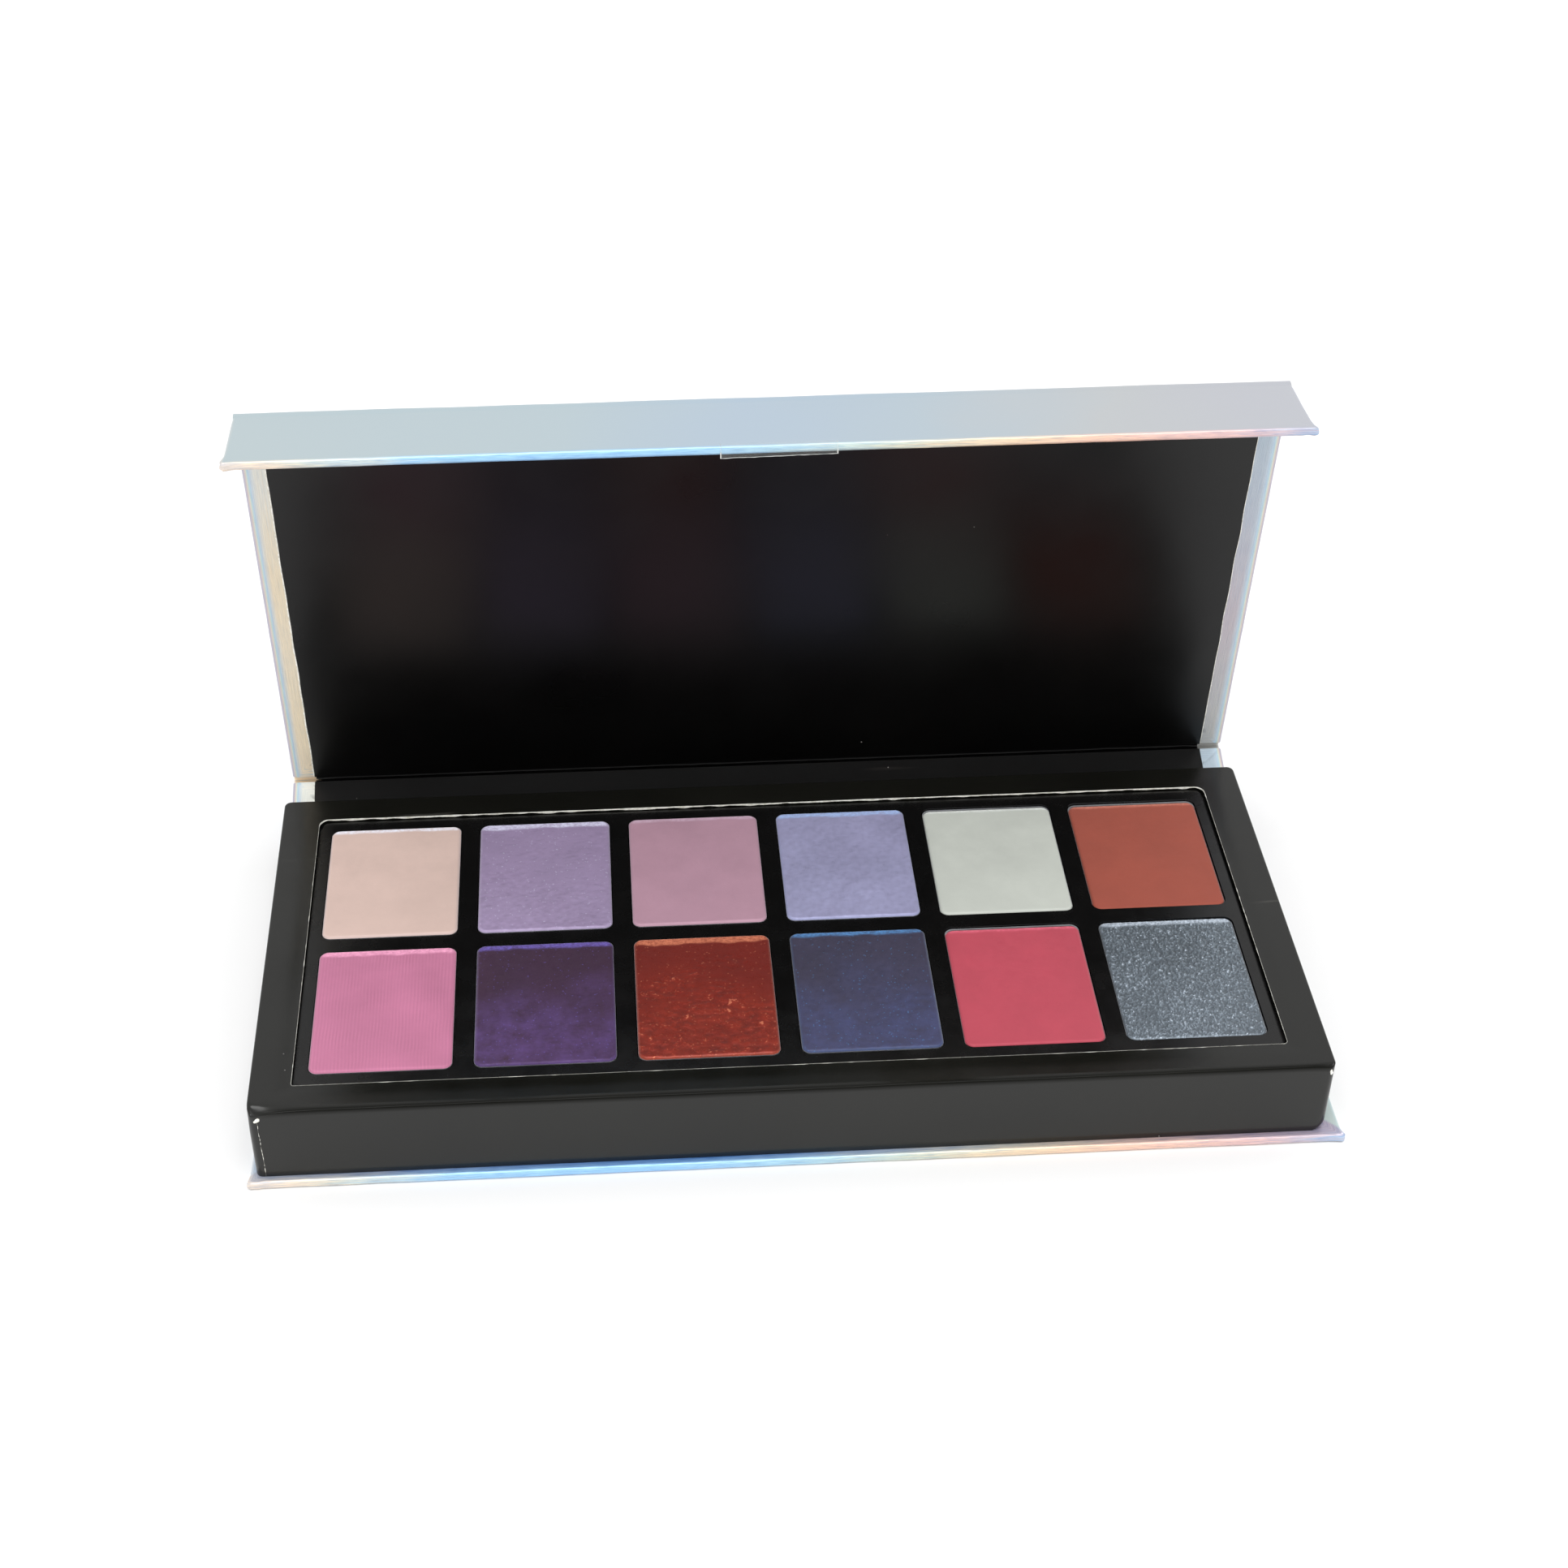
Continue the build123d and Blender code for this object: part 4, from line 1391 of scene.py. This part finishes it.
# colours are dark, pale and scratch; grain sets the size of clouds and bumps, depth their height
hardFinishes = {
    "insert_black": {
        "colors": ((6, 6, 6), (11, 10, 10), (60, 58, 56)),
        "rough": 0.24, "metal": 0.0, "spec": 0.42,
        "grain": 60.0, "depth": 0.000003, "scratch": 0.06,
    },
    "tinplate": {
        "colors": ((168, 170, 174), (205, 207, 212), (236, 236, 236)),
        "rough": 0.34, "metal": 0.7, "spec": 0.5,
        "grain": 120.0, "depth": 0.00001, "scratch": 0.3,
    },
    "grey_board": {
        "colors": ((132, 124, 112), (164, 156, 143), (186, 178, 166)),
        "rough": 0.86, "metal": 0.0, "spec": 0.2,
        "grain": 260.0, "depth": 0.00004, "scratch": 0.4,
    },
    "black_card": {
        "colors": ((20, 19, 18), (34, 33, 32), (80, 78, 74)),
        "rough": 0.7, "metal": 0.0, "spec": 0.3,
        "grain": 180.0, "depth": 0.00002, "scratch": 0.1,
    },
    "glue": {
        "colors": ((214, 208, 190), (236, 232, 216), (250, 248, 240)),
        "rough": 0.35, "metal": 0.0, "spec": 0.5,
        "grain": 300.0, "depth": 0.00003, "scratch": 0.0,
    },
    "magnet": {
        "colors": ((176, 174, 168), (206, 204, 198), (232, 230, 226)),
        "rough": 0.22, "metal": 1.0, "spec": 0.5,
        "grain": 160.0, "depth": 0.00001, "scratch": 0.3,
    },
}


def hardFinish(name, c):
    # shared finish for small hard parts: cloudy tone, fine grain, scratches
    s = Shade(name)
    s.set(metal=c["metal"], spec=c["spec"])
    dark, pale, scratched = [srgb(*color) for color in c["colors"]]
    base = s.ramp(s.noise(s.place, c["grain"], 5.0, 0.6), [(0.3, dark), (0.72, pale)])
    if c["scratch"]:
        lines = s.noise(s.scaled(s.place, (60, 900, 60)), 1.0, 2.0, 0.5)
        base = s.mix(s.step(lines, 0.7, 0.76, 0.0, c["scratch"]), base, scratched)
    s.color(base)
    blotch = s.noise(s.place, c["grain"] * 2.5, 4.0, 0.6)
    s.rough(s.step(blotch, 0.3, 0.7, c["rough"] - 0.05, c["rough"] + 0.08))
    s.bump(s.noise(s.place, c["grain"] * 14, 4.0, 0.65), c["depth"], 0.6)
    return s.mat


nodeFinishes = {name: hardFinish(name, c) for name, c in hardFinishes.items()}
nodeFinishes.update({"black_lining": liningMat, "holographic_paper": foilWide, "tray_paper": trayMat})
slotOf = {part["node"]: part["material_slot"] for part in record["subparts"]}
for node, obj in frame["nodes"].items():
    finish = nodeFinishes.get(slotOf[node])
    if finish and not obj.hide_render:
        obj.data.materials.clear()
        obj.data.materials.append(finish)
print("hard parts finished")
